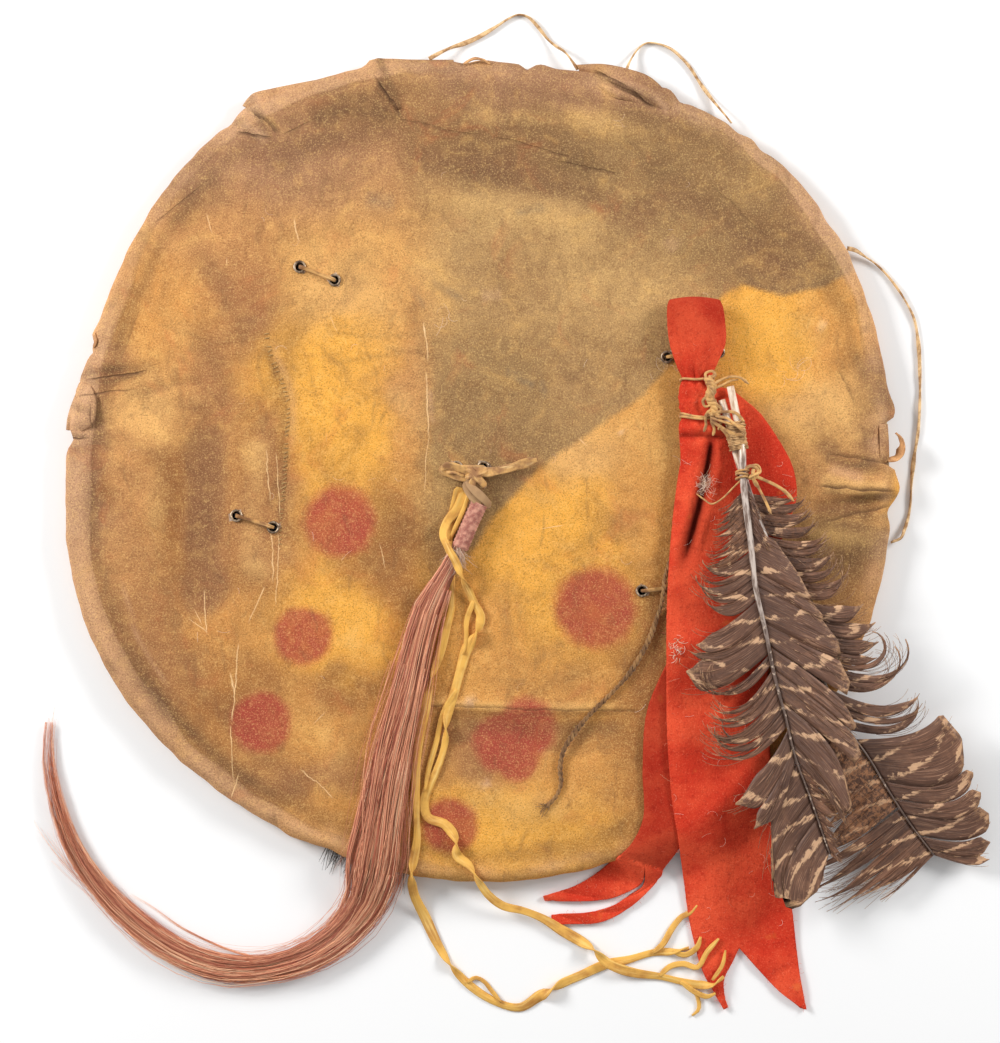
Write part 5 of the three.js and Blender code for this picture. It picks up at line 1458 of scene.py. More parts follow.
strays = Shape()
WISPS = [                       # loose hairs beside the lock: route, how many, how far they spread
    ([(-160, -297, 3), (-205, -275, 2.5), (-234, -251, 2), (-253, -232, 2), (-266, -214, 1.6),
      (-273, -201, 1)], 26, 5),
    ([(-100, -290, 6), (-137, -291, 3), (-178, -275, 2), (-200, -260, 2), (-219, -250, 1.4)], 16, 1.8),
    ([(-61, -235, 3), (-74, -262, 4), (-100, -283, 4), (-135, -295, 3), (-180, -286, 3),
      (-230, -244, 2)], 60, 4.5),
    ([(-250, -215, 2), (-257, -190, 2), (-258.5, -160, 2), (-255, -131, 1.2)], 16, 2.2),
    ([(-18, -52, 5), (-34, -84, 2.4), (-47, -120, 1.6), (-62, -150, 1.4), (-70, -180, 1.4)], 12, 7),
    ([(-30, -80, 3), (-43, -120, 2.2), (-55, -160, 2), (-70, -196, 2), (-80, -226, 2), (-90, -240, 2)],
     16, 6), ([(-40, -110, 3), (-46, -160, 5), (-45, -210, 4), (-46, -236, 3), (-56, -262, 3),
               (-78, -280, 3)], 46, 3.4),
]
for route, count, spread in WISPS:
    for _ in range(count):
        shift = (draw.gauss(0, spread / 2), draw.gauss(0, spread / 2))
        opening = draw.uniform(0.2, 1.6)
        line = []
        for number, (x, y, lift) in enumerate(route):
            widen = 0.25 + opening * number / len(route)
            line.append((x + widen * shift[0], y + widen * shift[1], lift + draw.uniform(-0.4, 1.2)))
        keep = draw.choice((len(line), len(line), len(line) - 1)) if len(line) > 4 else len(line)
        path = smooth_path(lying(line[:keep]), 9)
        path[:, 2] = np.maximum(path[:, 2], 0.3)
        path = path[:max(6, int(len(path) * draw.uniform(0.72, 1)))]
        fine_hair(strays, path, 0.36, 0.1, draw.random())
piece_from(strays, "stray_horsehair", dyed_hair, "dyed_horsehair")

# ---- Hair binding ----
# The head of the lock is whipped with fine pink thread, turn by turn, with a tuft of white hair below.
bind_posts = stations[:5]
bind_line = smooth_path(np.column_stack([
    bind_posts[:, :2], drape(bind_posts[:, 0], bind_posts[:, 1]) + bind_posts[:, 2] + bind_posts[:, 4]]), 0.5)
bind_side, bind_up = directions(bind_line, True)
THREAD = 1.0
whipping = Shape()
draw = random.Random(31)


def whipped(shape, line, side, up, first, last, wide, high, thread, pitch):
    """One thread wound closely round a bundle whose half width and half height are given."""
    run = distance_along(line)
    turns = (last - first) / pitch
    steps = int(turns * 24)
    share = np.linspace(0, 1, steps)
    at = first + share * (last - first)
    core, out, rise = (along_run(at, run, values) for values in (line, side, up))
    turn = 2 * np.pi * turns * share
    swell = 1 + 0.03 * np.sin(turn / 2.7) + 0.02 * np.sin(turn * 0.37)
    path = core + (wide * swell * np.cos(turn))[:, None] * out + (high * swell * np.sin(turn))[:, None] * rise
    return shape.sweep(path, oval_section(thread, thread, 8), shade=0.5)


whipped(whipping, bind_line, bind_side, bind_up, 8.5, 37, 4.6, 4.0, THREAD, 0.9)
pink_thread = Finish("pink_thread", Roughness=0.75, Sheen_Weight=0.2)
thread_tone = pink_thread.grain(pink_thread.place(), 260, 3, 0.6)
thread_colour = pink_thread.mix(pink_thread.step(thread_tone, 0.36, 0.64), pigment(214, 156, 132),
                                pigment(166, 100, 84))
pink_thread.surface(Base_Color=thread_colour, Normal=pink_thread.bump(
    pink_thread.grain(pink_thread.stretched(pink_thread.run(), (4, 14, 1)), 1, 3), 0.0003, 0.8))
piece_from(whipping, "thread_whipping", pink_thread, "pink_thread", "hair_binding")

tuft = Shape()
for _ in range(90):
    start = bind_line[-1] + np.array([draw.gauss(1.5, 1.6), draw.gauss(5, 2), draw.uniform(1, 3.6)])
    aim = draw.gauss(-1.45, 0.42)
    length = draw.uniform(6, 15)
    bend = np.array([math.cos(aim + draw.uniform(-0.4, 0.4)), math.sin(aim), 0]) * length
    middle = start + 0.55 * length * np.array([math.cos(aim), math.sin(aim), 0.16])
    line = smooth_path([start, middle, start + bend + (0, 0, draw.uniform(-1.4, 0.6))], 2.6)
    fine_hair(tuft, line, 0.36, 0.1, draw.random())
white_hair = Finish("white_hair", Roughness=0.5)
white_hair.surface(Base_Color=white_hair.mix(white_hair.spot("shade"), pigment(236, 214, 190),
                                             pigment(204, 160, 130)))
piece_from(tuft, "white_hair_tuft", white_hair, "dyed_horsehair")

# ---- Red cloth ----
# One strip of red wool felt, doubled over: the fold is puffed out as a head and tied at its neck, and
# both ends hang. Each end is cut to a fork. A deep fold runs down the front tail from the neck.
CLOTH_THICKNESS = 1.8
COLUMNS = 44
# across the strip, from the back tail's fork up to the head, over it, and down the front:
# left x, left y, right x, right y, lift, bulge, pleats, how far it is gathered to the left
CLOTH = [
    (84, -229, 110, -238, 1.5, 0, 0, 0), (92, -220, 119, -225, 1.5, 0.8, 0, 0),
    (98, -206, 126, -211, 1.6, 1.2, 0, 0), (97.5, -176, 136, -184, 1.7, 0.8, 0, 0),
    (100, -142, 148, -152, 1.7, 0.3, 0, 0), (114, -108, 160, -117, 1.7, 0, 0, 0),
    (124, -80, 162, -84, 1.7, 0, 0, 0), (128, -50, 162, -50, 1.7, 0, 0, 0),
    (130, 0, 152, 0, 1.7, 0, 0, 0), (129, 22, 146, 22, 2.8, -0.4, 0.3, 0),
    (121.5, 34, 141.5, 34, 5.4, -2.2, 0.4, 0), (120, 45, 141, 45, 6, -3, 0.5, 0),
    (121.4, 56, 137.6, 56, 6, -2.6, 0.5, 0), (118, 64, 140, 64, 8.4, -3.8, 0.3, 0),
    (113.4, 78, 143.2, 78, 9.4, -4.6, 0, 0), (112.2, 92, 144, 92, 9.8, -6, 0, 0),
    (112.2, 100, 143.8, 100, 8.2, -3.6, 0, 0), (113.6, 103.4, 142.4, 103.4, 7, 0.2, 0, 0),
    (112.2, 100.6, 144.2, 100.6, 8.4, 5.4, 0, 0), (112, 92, 145.6, 92, 9.4, 8.6, 0, 0),
    (113.4, 78, 146, 78, 9.2, 8.4, 0, 0), (117.6, 65, 140.8, 65, 8.4, 5.6, 0.6, 0),
    (121.2, 57, 137.8, 56.6, 6.6, 2.6, 0.8, 0), (119.4, 51, 142, 52, 6.6, 4.2, 0.8, 0),
    (119, 45, 151.5, 49, 6.2, 4.4, 0.6, 0.5), (119.6, 39.5, 161, 42, 6, 3.8, 0.6, 0.9),
    (121, 34, 168, 35.5, 6, 2.6, 0.5, 1), (119.4, 28, 173.5, 28, 5.9, 3.6, 0.5, 0.9),
    (119.8, 18, 180, 18, 5.8, 2.8, 0.4, 0.6), (120, 8, 185.5, 8, 5.7, 2, 0.2, 0.3),
    (118, -4, 188.5, -2, 5.7, 1.4, 0, 0.1), (115.6, -22, 189, -16, 5.7, 0.8, 0, 0),
    (113, -52, 179, -44, 5.7, 0.3, 0, 0), (111.5, -86, 173.5, -86, 5.7, 0, 0, 0),
    (111.5, -122, 172.4, -122, 5.7, 0, 0, 0), (112, -158, 173, -158, 5.1, 0, 0, 0),
    (115, -196, 177, -196, 4.3, 0.4, 0, 0), (119, -220, 181, -220, 3.3, 0.6, 0, 0),
    (123, -246, 186, -246, 2.4, 0.6, 0, 0), (126, -268, 189, -268, 1.8, 0.3, 0, 0),
    (130, -286, 191, -286, 1.5, 0, 0, 0),
]
# the points of the forks: which end, first and last column, and the edges of each row below the shared one
FORKS = [
    (-1, 0, 19, [(132.4, -295, 151.6, -296), (136.4, -304.5, 147.6, -304), (141.4, -313, 147, -312),
                 (147, -323, 149.4, -322)]),
    (-1, 19, COLUMNS,
     [(167.5, -298.5, 193, -302), (181, -312.5, 195.6, -316), (193.6, -322, 197, -323)]),
    (0, 0, 25, [(79, -233.5, 98, -246), (70, -241, 86, -253.5), (56, -249, 70, -257.4),
                (38, -254.6, 39, -257.2)]),
    (0, 25, COLUMNS, [(99, -247, 108.4, -243), (90, -254.5, 99.5, -253.6), (73, -263, 77, -269),
                      (43, -266, 43, -272)]),
]
VALLEY = [(138.5, 24), (136, 6), (131, -18), (124, -44), (119, -66)]


def cloth_row(left_x, left_y, right_x, right_y, lift, bulge, pleat, gather, share):
    """Points across one row of the cloth, at the given shares of its width."""
    spread = share ** (1 + 1.1 * gather)
    x = left_x + (right_x - left_x) * spread
    y = left_y + (right_y - left_y) * spread
    width = math.hypot(right_x - left_x, right_y - left_y)
    bundle = width if width < 36 else 25 + 0.25 * (width - 36)
    across = np.clip(spread * width / bundle, 0, 1)
    hollow = np.sin(np.pi * across)
    rise = bulge * hollow ** (1.1 if abs(bulge) > 3.9 else 0.8) + pleat * np.cos(7 * np.pi * across) * hollow
    y = y + 1.6 * bell((left_y - 103.4) / 3) * hollow
    return np.column_stack([x, y, drape(x, y) + lift + rise])


share = np.linspace(0, 1, COLUMNS + 1)
rows = smooth_path(CLOTH, 1.9)
main = np.array([cloth_row(*row, share) for row in rows])
middle_run = distance_along(main[:, COLUMNS // 2])
front = smooth((middle_run - 0.56 * middle_run[-1]) / 20)[:, None]
away, place = along_line(main[..., 0], main[..., 1], VALLEY)
ends = smooth(place * 9) * smooth((1 - place) * 2.6) * front
deep = bell(away / (2.2 + 1.6 * place)) * ends
lips = bell((away - 5) / 2.8) * ends
ripple = rough(main[..., 0], main[..., 1], 34, 51) * 1.0 + rough(main[..., 0], main[..., 1], 13, 52) * 0.35
hanging = smooth((70 - main[..., 1]) / 50)
tail_wave = 0.9 * np.sin(main[..., 1] / 23 + main[..., 0] / 31) * smooth((-30 - main[..., 1]) / 60)
left_part = smooth((148 - main[..., 0]) / 5) * front
tuck = 2.4 * bell((main[..., 1] - 28.5) / 3.2) - 2.2 * bell((main[..., 1] - 22.6) / 1.8)
tuck = tuck + 1.2 * bell((main[..., 1] - 45) / 4) - 1.2 * bell((main[..., 1] - 38.5) / 1.4)
main[..., 2] += ((0.8 * ripple + 0.6 * tail_wave) * (0.4 + 0.6 * hanging) - 4.6 * deep + 1.8 * lips
                 + tuck * left_part)
main[..., 2] = np.maximum(main[..., 2], 1.1)
frayed_edge = 0.22 * rough(middle_run, 0 * middle_run, 3.1, 61)
main[:, 0, 0] += frayed_edge
main[:, -1, 0] += frayed_edge[::-1]
# painted shade on the felt: dark in the deep valley, in the tucks at the neck and over the back tail, and a
# painted shadow where the quills lie over the front tail
valley_shade = 1.3 * bell(away / (2.6 + 2.2 * place)) * ends
tuck_shade = (0.55 * bell((main[..., 1] - 22.4) / 1.8) + 0.35 * bell((main[..., 1] - 38.4) / 1.4)) * left_part
behind = 0.42 * (1 - smooth((middle_run - 0.47 * middle_run[-1]) / 40))[:, None]
quill_shadow = (0.3 * bell((main[..., 0] - 160) / 16) * smooth((30 - main[..., 1]) / 30)
                * smooth((main[..., 1] + 130) / 60) * front)
valley_shade = np.clip(valley_shade + tuck_shade + behind + quill_shadow, 0, 1)

webs = [(main, valley_shade)]
for end, first, last, edges in FORKS:
    shared = main[end, first:last + 1]
    start = (*shared[0, :2], *shared[-1, :2])
    fork_rows = smooth_path([start, *edges], 1.9)
    part = np.linspace(0, 1, last - first + 1)
    fork = []
    for number, (left_x, left_y, right_x, right_y) in enumerate(fork_rows):
        fork_x = left_x + (right_x - left_x) * part
        fork_y = left_y + (right_y - left_y) * part
        settle = smooth(number / 9)
        fork_z = shared[:, 2] * (1 - settle) + (1.3 + 0.8 * np.abs(np.sin(number / 6 + part * 2))) * settle
        fork.append(np.column_stack([fork_x, fork_y, fork_z]))
    fork[0] = shared
    webs.append((np.array(fork), np.zeros((len(fork), last - first + 1))))

FLIPPED_WEBS = (3, 4)           # the back tail's forks, whose rows run the other way
cloth_shape = Shape()
for number, (web, shade) in enumerate(webs):
    faces = grid_faces(*web.shape[:2])
    faces = (faces[:, ::-1] if number in FLIPPED_WEBS else faces).tolist()
    runs = np.zeros((4 * len(faces), 2))
    cloth_shape.add(web.reshape(-1, 3), faces, runs, shade.ravel())

felt = Finish("red_felt", Roughness=0.95, Specular_IOR_Level=0.08, Sheen_Weight=0.12,
              Sheen_Tint=(1.0, 0.35, 0.2, 1))
felt_here = felt.place()
nap = felt.grain(felt_here, 1100, 3, 0.7)
matting = felt.grain(felt_here, 260, 4, 0.65)
fading = felt.grain(felt_here, 28, 4, 0.6)
weave = felt.grain(felt.stretched(felt_here, (1, 0.25, 1)), 700, 2)
wool = felt.mix(felt.step(fading, 0.36, 0.66), pigment(204, 56, 36), pigment(230, 86, 54))
wool = felt.coats(wool, [
    (matting, 0.5, 0.7, 0.42, pigment(164, 34, 22)),
    (nap, 0.54, 0.7, 0.5, pigment(244, 122, 88)),
    (nap, 0.46, 0.3, 0.5, pigment(146, 28, 18)),
])
stains = felt.step(felt.grain(felt_here, 46, 3, 0.5), 0.66, 0.74) * 0.4
wool = felt.mix(stains, wool, pigment(226, 120, 58))
# the painted shade and shadow gathered in the 'shade' mask darken the red
wool = felt.mix(felt.clamped(felt.spot("shade")) * 0.92, wool, pigment(72, 10, 6))
felt.surface(Base_Color=wool, Normal=felt.bump(0.7 * matting + 0.5 * nap + 0.4 * weave, 0.0006, 0.9))

cloth = piece_from(cloth_shape, "red_felt_strip", felt, "red_wool", "red_cloth")
choose(cloth)
bpy.ops.object.mode_set(mode="EDIT")
bpy.ops.mesh.select_all(action="SELECT")
bpy.ops.mesh.remove_doubles(threshold=0.02 * MM)
bpy.ops.mesh.normals_make_consistent(inside=False)
bpy.ops.object.mode_set(mode="OBJECT")
thicken(cloth, CLOTH_THICKNESS, 0)

draw = random.Random(91)
lint = Shape()
WOOL_FIBRES = 420


def loose_fibre(shape, spot, length, thickness, lift=0.8):
    aim = draw.uniform(0, 2 * math.pi)
    curl = draw.uniform(-1.6, 1.6)
    path = [np.array(spot, float)]
    for step in range(4):
        aim += curl * 0.5
        path.append(path[-1]
                    + 0.25 * length * np.array([math.cos(aim), math.sin(aim), lift * (0.35 - 0.2 * step)]))
    shape.sweep(smooth_path(path, max(0.5, length / 8)), oval_section(thickness, thickness, 3),
                shade=draw.random())


for _ in range(WOOL_FIBRES):
    web = webs[draw.choice((0, 0, 0, 0, 1, 2, 3, 4))][0]
    row = draw.randrange(len(web) // 2 if web is main and draw.random() < 0.75 else 1, len(web))
    edge = draw.random() < 0.6
    column = draw.choice((0, web.shape[1] - 1)) if edge else draw.randrange(web.shape[1])
    loose_fibre(lint, web[min(row, len(web) - 1), column] + (0, 0, 0.9), draw.uniform(1.2, 3.4), 0.13)
wool_lint = Finish("wool_lint", Roughness=0.9)
wool_lint.surface(Base_Color=wool_lint.mix(wool_lint.spot("shade"), pigment(220, 76, 52),
                                           pigment(238, 150, 120)))
piece_from(lint, "loose_wool", wool_lint, "red_wool")

fluff = Shape()
for _ in range(90):
    loose_fibre(fluff, (134 + draw.gauss(0, 1.6), -6 + draw.gauss(0, 2.4), 26 + draw.gauss(0, 0.8)),
                draw.uniform(2, 8), 0.16)
for _ in range(36):
    loose_fibre(fluff, (117 + draw.gauss(0, 1.8), -104 + draw.gauss(0, 4), 23.4 + draw.gauss(0, 0.6)),
                draw.uniform(2, 6), 0.3)
for _ in range(60):
    column = draw.randrange(COLUMNS)
    row = draw.randrange(int(len(main) * 0.6), len(main))
    loose_fibre(fluff, main[row, column] + (0, 0, 1.0), draw.uniform(3, 9), 0.12)
for _ in range(40):
    angle = draw.uniform(0, 2 * math.pi)
    reach = 215 * math.sqrt(draw.random())
    spot_x, spot_y = reach * math.cos(angle), reach * math.sin(angle)
    loose_fibre(fluff, (spot_x, spot_y, float(face_height(spot_x, spot_y)) + 0.9), draw.uniform(3, 9),
                0.13, 0.3)
for middle_x, middle_y in ((78, 214), (-18, 94), (112, 62), (190, 62), (183, 60)):
    for _ in range(5):
        spot_x, spot_y = middle_x + draw.gauss(0, 2), middle_y + draw.gauss(0, 2)
        loose_fibre(fluff, (spot_x, spot_y, float(face_height(spot_x, spot_y)) + 0.9),
                    draw.uniform(6, 13), 0.13, 0.3)
pale_fluff = Finish("pale_fluff", Roughness=0.8)
pale_fluff.surface(Base_Color=pale_fluff.mix(pale_fluff.spot("shade"), pigment(246, 226, 210),
                                             pigment(214, 170, 130)))
piece_from(fluff, "pale_fluff", pale_fluff, "feather")

# ---- Neck tie ----
# A narrow thong goes round the cloth's neck, once above and twice below, and its ends are knotted
# together down the front.
neck = Shape()
for x, y, lift, half_w, half_h, drop in ((129.5, 56.2, 3.2, 9.2, 4.4, 0.5), (131, 33.6, 3.0, 10.8, 4.4, -0.6),
                                         (131.2, 35.2, 3.0, 10.6, 4.2, -1.2)):
    turn = np.linspace(0.1, 2 * np.pi + 0.1, 60)
    height = float(drape(x, y)) + lift + half_h
    ring = np.column_stack([x + (half_w + 0.6) * np.cos(turn), y + drop * np.sin(turn + 0.6)
                            + 0.4 * np.sin(3 * turn),
                            height + (half_h + 0.4) * np.sin(turn)])
    neck.sweep(ring, oval_section(1.9, 1.5, 8, 0.9))
chain = smooth_path(lying([(135.5, 57, 12.6), (138.2, 51, 13.6), (136.6, 45.5, 13.4), (139.6, 40, 13.4),
                           (138.2, 34.5, 12.6)]), 0.6)
braid, _ = laid_up(chain, 5.2, 7.5, plies=3, seed=6)
neck.add(np.vstack(braid.points), braid.faces, np.vstack(braid.runs))
TIE_ENDS = [
    ([(136, 57, 12.6), (140, 58.6, 13.2), (138.6, 61, 12.6), (134.4, 59.6, 12.4), (135, 55.4, 13.2)], 1.9),
    ([(138, 52, 14), (142, 55, 14.6), (149, 57.6, 14.4), (155, 57, 14), (160, 53.4, 13.6)], 1.7),
    ([(138, 50, 14), (144, 52.6, 14.2), (150, 55.6, 13.4), (154, 55.8, 13)], 1.5),
    ([(136, 46, 14.6), (132.8, 43.6, 13.8), (134, 40, 13.4), (138, 41, 15)], 1.8),
    ([(140, 41, 15), (143.4, 38.6, 14.6), (141.4, 35, 14.4), (137.4, 36.2, 15)], 2.0),
    ([(137, 38, 14.8), (134.4, 34, 13.6), (134.6, 29, 12.4), (133.4, 25, 11.6)], 2.1),
    ([(139, 36, 14.6), (138, 31, 13), (139.6, 26.6, 12), (138.8, 22.6, 11)], 2.1),
    ([(141, 36.5, 15), (143.4, 31, 14), (142, 26, 12.8)], 2.3),
    ([(136, 35.6, 14.6), (145, 36.8, 15.4), (152, 36, 16), (157, 31, 16.6)], 2.0),
    ([(137, 33.4, 14.6), (143, 31.4, 15.2), (149, 29.6, 16.6), (157, 27.6, 18)], 2.2),
    ([(138, 31.4, 13.6), (144, 27.4, 14.6), (150, 24, 16.2), (157, 22.6, 18)], 2.2),
    ([(140, 34, 14.8), (147, 32.8, 15.8), (153, 28, 18.4), (158, 24, 18)], 2.0),
    ([(142, 29, 13.2), (146.4, 24, 13.8), (149, 18, 13.6), (151.8, 14, 13)], 2.4),
]
for number, (route, width) in enumerate(TIE_ENDS):
    flat_strip(neck, route, width, 1.1, lean=0.5 * math.sin(3 * number), step=0.7, wave=0.14)
piece_from(neck, "knotted_neck_tie", soft_thong, "thong_hide", "neck_tie")

# ---- Feathers ----
# Two large tail feathers, dark brown with broken buff bars. Worn and eaten, their vanes have parted
# into clumps of barbs that curl back as hooks; the quills' tops are bare and pale.
NECK_LEVEL = float(drape(155, 0)) + 1
LONG_QUILL = [
    (149, 52, 13.4), (152, 38, 13), (155.2, 22, 12.9), (156, 12, 15.2), (156.2, 2, 16),
    (157.5, -14, 16.4), (161, -41, 16), (164, -68, 15.4), (170, -94, 14.6), (175, -119, 13.8),
    (182, -145, 12.4), (188, -169, 10.4), (197, -193, 8), (209, -227, 4),
]
SHORT_QUILL = [
    (144, 44, 11.4), (147, 34, 11.4), (150.6, 22, 11), (152.8, 12, 10.8), (156, 2, 10.8), (161, -14, 11),
    (166, -28, 10.8), (177, -55, 10.2), (194, -96, 8.6), (211, -137, 6.4), (220, -153, 4.6), (232, -169, 2.4),
    (245, -190, -0.6), (259, -211, -4.6), (273, -229, -8.4),
]
# stretches of web: side, first and last place along the quill, clumps, how far out they part, then from
# first to last their reach, angle to the quill and curl back; how far the tips lift, and how downy
LONG_WEBS = [
    (1, 60, 86, 5, 0.7, (14, 24, 22), (34, 26, 30), (0, 6), 0.5, 0),
    (1, 86, 156, 4, 0.95, (20, 46, 54, 62), (58, 54, 46), (-8, 4), 0.8, 0),
    (1, 156.5, 190, 2, 0.92, (66, 70, 64), (45, 36), (-14, -8), 1.4, 0.15),
    (1, 191, 228, 2, 0.9, (62, 70, 50), (36, 24), (-40, -18), 1.4, 0),
    (1, 230, 290, 9, 0.4, (22, 18, 10), (34, 30), (16, 10), 1, 0.3),
    (-1, 62, 98, 8, 0.4, (20, 30, 34), (42, 56), (20, 60), 1.8, 0.4),
    (-1, 99, 128, 5, 0.42, (38, 42, 40), (58, 60), (80, 130), 3, 0),
    (-1, 128.5, 161, 3, 0.8, (44, 52, 62), (60, 62, 60), (40, 86, 60), 2.2, 0),
    (-1, 161.5, 168, 2, 0.3, (66, 60), (52, 50), (130, 150), 3.4, 0),
    (-1, 171, 206, 8, 0.28, (52, 58, 60), (46, 54), (128, 96), 3, 0),
    (-1, 208, 227, 2, 0.7, (46, 60, 52), (40, 34), (60, 30), 2.4, 0),
    (-1, 229, 291, 3, 0.95, (44, 64, 60, 18), (54, 60, 42), (-46, -66, -30), 1, 0),
]
SHORT_WEBS = [
    (1, 58, 84, 5, 0.42, (30, 38, 40), (62, 56), (60, 92), 2.6, 0.3),
    (1, 85, 122, 6, 0.45, (38, 46, 46), (54, 48), (70, 120), 2.8, 0.25),
    (1, 123, 158, 4, 0.7, (48, 50, 44), (46, 42), (70, 46), 1.8, 0.1),
    (1, 160, 180, 3, 0.3, (76, 70, 62), (44, 48), (160, 170), 3.4, 0),
    (1, 183, 201, 2, 0.75, (66, 62, 56), (42, 44), (84, 96), 3, 0.1),
    (1, 203.5, 212, 1, 0.6, (64, 60), (44, 46), (120, 110), 3, 0),
    (1, 219, 262, 2, 0.94, (64, 62, 56), (52, 46), (76, 84), 2.4, 0),
    (1, 262.5, 290, 2, 0.9, (56, 50), (46, 42), (84, 64), 3, 0),
    (1, 291, 309, 2, 0.8, (46, 34), (40, 32), (60, 30), 2, 0),
    (-1, 60, 150, 9, 0.9, (14, 24), (40, 36), (0, 0), 0.4, 0),
    (-1, 152, 206, 4, 0.95, (26, 34, 38), (50, 66), (0, 10), 0.6, 0.7),
    (-1, 206.5, 244, 2, 0.94, (38, 44), (66, 76), (-6, 6), 0.8, 1),
    (-1, 244.5, 268, 4, 0.6, (48, 56, 60), (76, 84), (4, 16), 0.8, 0.9),
    (-1, 270, 309, 9, 0.26, (84, 78, 40), (86, 84), (10, 26), 1.2, 0.1),
]
BARB_STEPS = 20
CLUMP_BARBS = 7


def barb_line(root, heading, side, reach, leave, curl, stray, rise):
    """The middle line of some barbs, bending as they leave the quill."""
    out = np.linspace(0, 1, BARB_STEPS)
    turn = heading + side * np.radians(leave + curl * out ** 2.3 + stray * out ** 1.5)
    step = reach / (BARB_STEPS - 1)
    x = root[0] + np.concatenate([[0], np.cumsum(np.cos(turn[:-1]) * step)])
    y = root[1] + np.concatenate([[0], np.cumsum(np.sin(turn[:-1]) * step)])
    z = root[2] + 0.9 * np.sin(np.pi * out) + rise * out ** 2.5
    return np.column_stack([x, y, z]), out


def feather(name, quill, webs, horn, node, seed):
    draw = random.Random(seed)
    path = smooth_path([(x, y, NECK_LEVEL + level) for x, y, level in quill], 2.5)
    run = distance_along(path)
    shaft = Shape()
    thickness = 4.7 - 3.7 * smooth(run / run[-1] * 1.05) - 0.3 * smooth((12 - run) / 12)
    shaft.sweep(path, oval_section(thickness, 0.94 * thickness, 12), level=True)
    piece_from(shaft, name + "_quill", horn, "feather")
    vane = Shape()
    marks = {"tone": [], "bar": [], "down": []}

    def mark(count, tone, bar, down):
        marks["tone"].append(np.full(count, tone))
        marks["bar"].append(bar / 100)
        marks["down"].append(np.full(count, down))

    def on_quill(at):
        spot = np.array([np.interp(at, run, path[:, axis]) for axis in range(3)])
        after, before = (np.array([np.interp(at + way, run, path[:, axis]) for axis in (0, 1)])
                         for way in (4, -4))
        return spot, math.atan2(*(after - before)[::-1])

    for side, first, last, clumps, parted, reaches, leaves, curls, lift, down in webs:
        edges = np.linspace(first, last, clumps + 1)
        edges[1:-1] += [draw.uniform(-0.4, 0.4) * (last - first) / clumps for _ in edges[1:-1]]
        for number, (start, end) in enumerate(zip(edges, edges[1:])):
            slack = 0.04 + 1.1 * (1 - parted) ** 1.5
            stray = draw.uniform(-26, 26) * slack
            lengthen = 1 + draw.uniform(-0.26, 0.1) * slack
            hooked = 1 + draw.uniform(-0.5, 0.7) * slack
            rise = lift * draw.uniform(0.3, 1)
            tone = 0.5 + draw.uniform(-0.7, 0.7) * slack
            opening = min(0.95, parted * (1 + draw.uniform(-0.4, 0.5) * slack))
            sheet = []
            for column, at in enumerate(np.linspace(start, end, CLUMP_BARBS)):
                share = (at - first) / (last - first)
                reach, leave, curl = (np.interp(share, np.linspace(0, 1, len(span)), span)
                                      for span in (reaches, leaves, curls))
                spot, heading = on_quill(at)
                middle = 2 * column / (CLUMP_BARBS - 1) - 1
                spot = spot + (0, 0, -1.0 + 0.24 * column / CLUMP_BARBS)
                reach = reach * lengthen * (1 - 0.07 * abs(middle) + 0.03 * draw.random())
                line, out = barb_line(spot, heading, side, reach, leave, curl * hooked, stray, rise)
                sheet.append(line)
            sheet = np.array(sheet)
            centre = sheet.mean(0)
            pinch = 1 - 0.94 * smooth((out - opening) / (1 - opening)) ** 1.3
            pinch = pinch * (1 + 0.05 * (1 - abs(2 * out - 1)))
            sheet = centre + (sheet - centre) * pinch[:, None]
            arch = 1 - np.linspace(-1, 1, CLUMP_BARBS)[:, None] ** 2
            sheet[..., 2] += (0.12 + 0.6 * slack) * arch * smooth(out * 2) + 0.05 * (number % 2)
            sheet[..., 2] = np.maximum(sheet[..., 2], 1.2 + 0.12 * (number % 3))
            faces = grid_faces(CLUMP_BARBS, BARB_STEPS)[:, [0, 3, 2, 1]]
            if side < 0:
                faces = faces[:, ::-1]
            along = np.linspace(start, end, CLUMP_BARBS)
            places = np.stack(np.broadcast_arrays(along[:, None], 60 * out[None]), -1).reshape(-1, 2)
            vane.add(sheet, faces.tolist(), places[faces.ravel()], np.tile(out * 0.999, CLUMP_BARBS))
            mark(sheet[..., 0].size, tone, (along[:, None] + 0.5 * reach * out[None]).ravel(), down)
            # barbs that have come loose from the clump
            for _ in range(4 + int(5 * (1 - parted))):
                loose = draw.choice(sheet) + (0, 0, 0.25)
                fine, _ = barb_line(loose[0], on_quill(start)[1], side, reach * draw.uniform(0.9, 1.12),
                                    leave + draw.uniform(-5, 5), curl + draw.uniform(-20, 30), stray,
                                    rise + 0.4)
                begin = draw.randrange(3, 11)
                fine = fine[begin:] + (loose[begin] - fine[begin])
                fine[:, 2] = np.maximum(fine[:, 2], 1.2)
                fine_hair(vane, fine, 0.42, 0.16, np.linspace(0.5, 0.999, len(fine)))
                mark(3 * len(fine), draw.random(), np.repeat(start + 30 * out[begin:], 3), down)
    piece = piece_from(vane, name + "_vane", feather_brown, "feather", node)
    for mark_name, values in marks.items():
        paint(piece, mark_name, np.concatenate(values))
    thicken(piece, 0.22, -1)
    return piece


